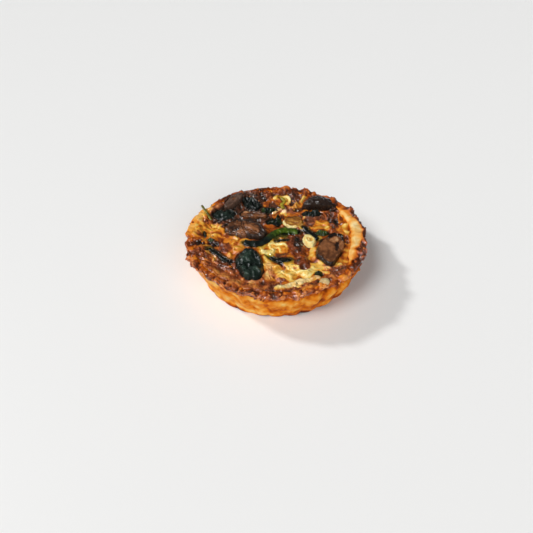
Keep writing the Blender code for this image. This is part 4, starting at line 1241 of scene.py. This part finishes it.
def lumpMesh(name, flat):
    # a small uneven lump about 1 mm across, or a curled fleck
    mesh = bpy.data.meshes.new(name)
    shape = bmesh.new()
    bmesh.ops.create_cube(shape, size=1)
    bmesh.ops.subdivide_edges(shape, edges=shape.edges, cuts=1, use_grid_fill=True)
    for vert in shape.verts:
        vert.co = vert.co.normalized() * 0.6 * mm
        place = vert.co / mm
        vert.co *= 1 + 0.3 * noise.noise(place * 2.2)
        if flat:
            vert.co = Vector((vert.co.x * 1.5, vert.co.y * 0.6, vert.co.z * 0.16 + 0.12 * place.x**2 * mm))
    shape.to_mesh(mesh)
    shape.free()
    return placed(name, mesh)


def scatterTree():
    numbers = ["Per square mm", "Smallest", "Largest", "Palest", "Darkest", "Tumble"]
    wanted = [("Ground", "Object"), ("Bit", "Object"), ("Field", "String"), ("Finish", "Material")]
    wanted += [("Seed", "Int"), *((number, "Float") for number in numbers)]
    tree, given = newTree("scatterBits", *wanted)
    ground = addNode(tree, "GeometryNodeObjectInfo", {0: given["Ground"]}).outputs["Geometry"]
    cover = addNode(tree, "GeometryNodeInputNamedAttribute", {"Name": given["Field"]}, data_type="FLOAT")
    density = calc(tree, "MULTIPLY", cover.outputs[0], given["Per square mm"])
    density = calc(tree, "MULTIPLY", density, 1 / mm**2)
    spread = addNode(tree, "GeometryNodeDistributePointsOnFaces", {
        "Mesh": ground, "Density": density, "Seed": given["Seed"]})

    def chance(low, high, seed):
        drawn = addNode(tree, "FunctionNodeRandomValue", {2: low, 3: high, "Seed": seed}, data_type="FLOAT")
        return drawn.outputs[1]

    tilt = addNode(tree, "ShaderNodeCombineXYZ", {
        0: calc(tree, "MULTIPLY", chance(-2.0, 2.0, 11), given["Tumble"]),
        1: calc(tree, "MULTIPLY", chance(-2.0, 2.0, 12), given["Tumble"]), 2: chance(0.0, fullTurn, 13)})
    tumble = addNode(tree, "FunctionNodeEulerToRotation", {0: tilt.outputs[0]})
    turns = {0: spread.outputs["Rotation"], 1: tumble.outputs[0]}
    turned = addNode(tree, "FunctionNodeRotateRotation", turns, rotation_space="LOCAL")
    bit = addNode(tree, "GeometryNodeObjectInfo", {0: given["Bit"]}).outputs["Geometry"]
    bigness = calc(tree, "POWER", chance(0.0, 1.0, 14), 2.0)  # most are small
    between = calc(tree, "SUBTRACT", given["Largest"], given["Smallest"])
    size = calc(tree, "MULTIPLY_ADD", bigness, between, given["Smallest"])
    bits = addNode(tree, "GeometryNodeInstanceOnPoints", {
        "Points": spread.outputs["Points"], "Instance": bit, "Rotation": turned.outputs[0], "Scale": size})
    shade = chance(given["Palest"], given["Darkest"], 15)
    endTree(tree, stored(tree, bits.outputs[0], "tone", shade, domain="INSTANCE"), given["Finish"])
    return tree


def scatterBits(tree, name, look):
    bit = lumpMesh(name + "Bit", look["flat"])
    mesh = grownMesh(tree, {
        "Ground": look["ground"], "Bit": bit, "Field": look["field"], "Finish": look["finish"],
        "Seed": look["seed"], "Per square mm": look["density"],
        "Smallest": look["scale"][0], "Largest": look["scale"][1],
        "Palest": look["tone"][0], "Darkest": look["tone"][1], "Tumble": 0.1 if look["flat"] else 1.0,
    })
    bpy.data.objects.remove(bit)
    setPoints(mesh, keepInside(pointsOf(mesh)))
    return dress(pieceOf(name, mesh), look["slot"])


bitGrowth = scatterTree()
for scatterName, scatterLook in scatters.items():
    bits = scatterBits(bitGrowth, scatterName, scatterLook)
    print(scatterName, "faces:", len(bits.data.polygons))


# Floor, light and camera

view = {
    "eye": (-5.93, -248.8, 262.0), "aim": (-5.93, -1.31, -1.5), "lens": 37.15,
    "floorHalf": 1500, "floorColour": (236, 236, 235), "floorRoughness": 0.55, "roomLight": 0.08,
}


def makeFloor():
    half = view["floorHalf"]
    corners = np.array([(-half, -half, 0), (half, -half, 0), (half, half, 0), (-half, half, 0)], float)
    finish = bpy.data.materials.new("paleFloor")
    finish.use_nodes = True
    shader = finish.node_tree.nodes["Principled BSDF"]
    shader.inputs["Base Color"].default_value = srgb(*view["floorColour"])
    shader.inputs["Roughness"].default_value = view["floorRoughness"]
    makePiece("floor", corners, [(0, 1, 2, 3)], finish)


def addLight(name, place, spread, power, glints=True):
    # a far lamp seen as a disk this many degrees wide
    light = bpy.data.lights.new(name, "SUN")
    light.angle = math.radians(spread)
    light.energy = power
    lamp = placed(name, light)
    lamp.location = Vector(place)
    lamp.visible_glossy = glints
    lamp.rotation_euler = Vector(place).to_track_quat("Z", "Y").to_euler()


def addCamera():
    camera = placed("camera", bpy.data.cameras.new("camera"))
    camera.data.sensor_width = 36
    camera.data.lens = view["lens"]
    camera.data.clip_start = 0.01
    camera.location = Vector(view["eye"]) * mm
    camera.rotation_euler = (Vector(view["aim"]) - Vector(view["eye"])).to_track_quat("-Z", "Y").to_euler()
    bpy.context.scene.camera = camera


makeFloor()
addLight("softWindow", (-0.6, -0.45, 0.95), 28, 1.75)
addLight("brightWindow", (-0.75, 0.3, 0.65), 7, 1.5)
addLight("frontFill", (0.35, -1.0, 0.55), 60, 1.5, glints=False)
addCamera()
world = bpy.data.worlds.new("paleRoom")
world.use_nodes = True
roomGlow = world.node_tree.nodes["Background"]
roomGlow.inputs["Color"].default_value = (1, 1, 1, 1)
roomGlow.inputs["Strength"].default_value = view["roomLight"]
bpy.context.scene.world = world
bpy.context.scene.view_settings.view_transform = "Standard"
print("pieces:", len(made))
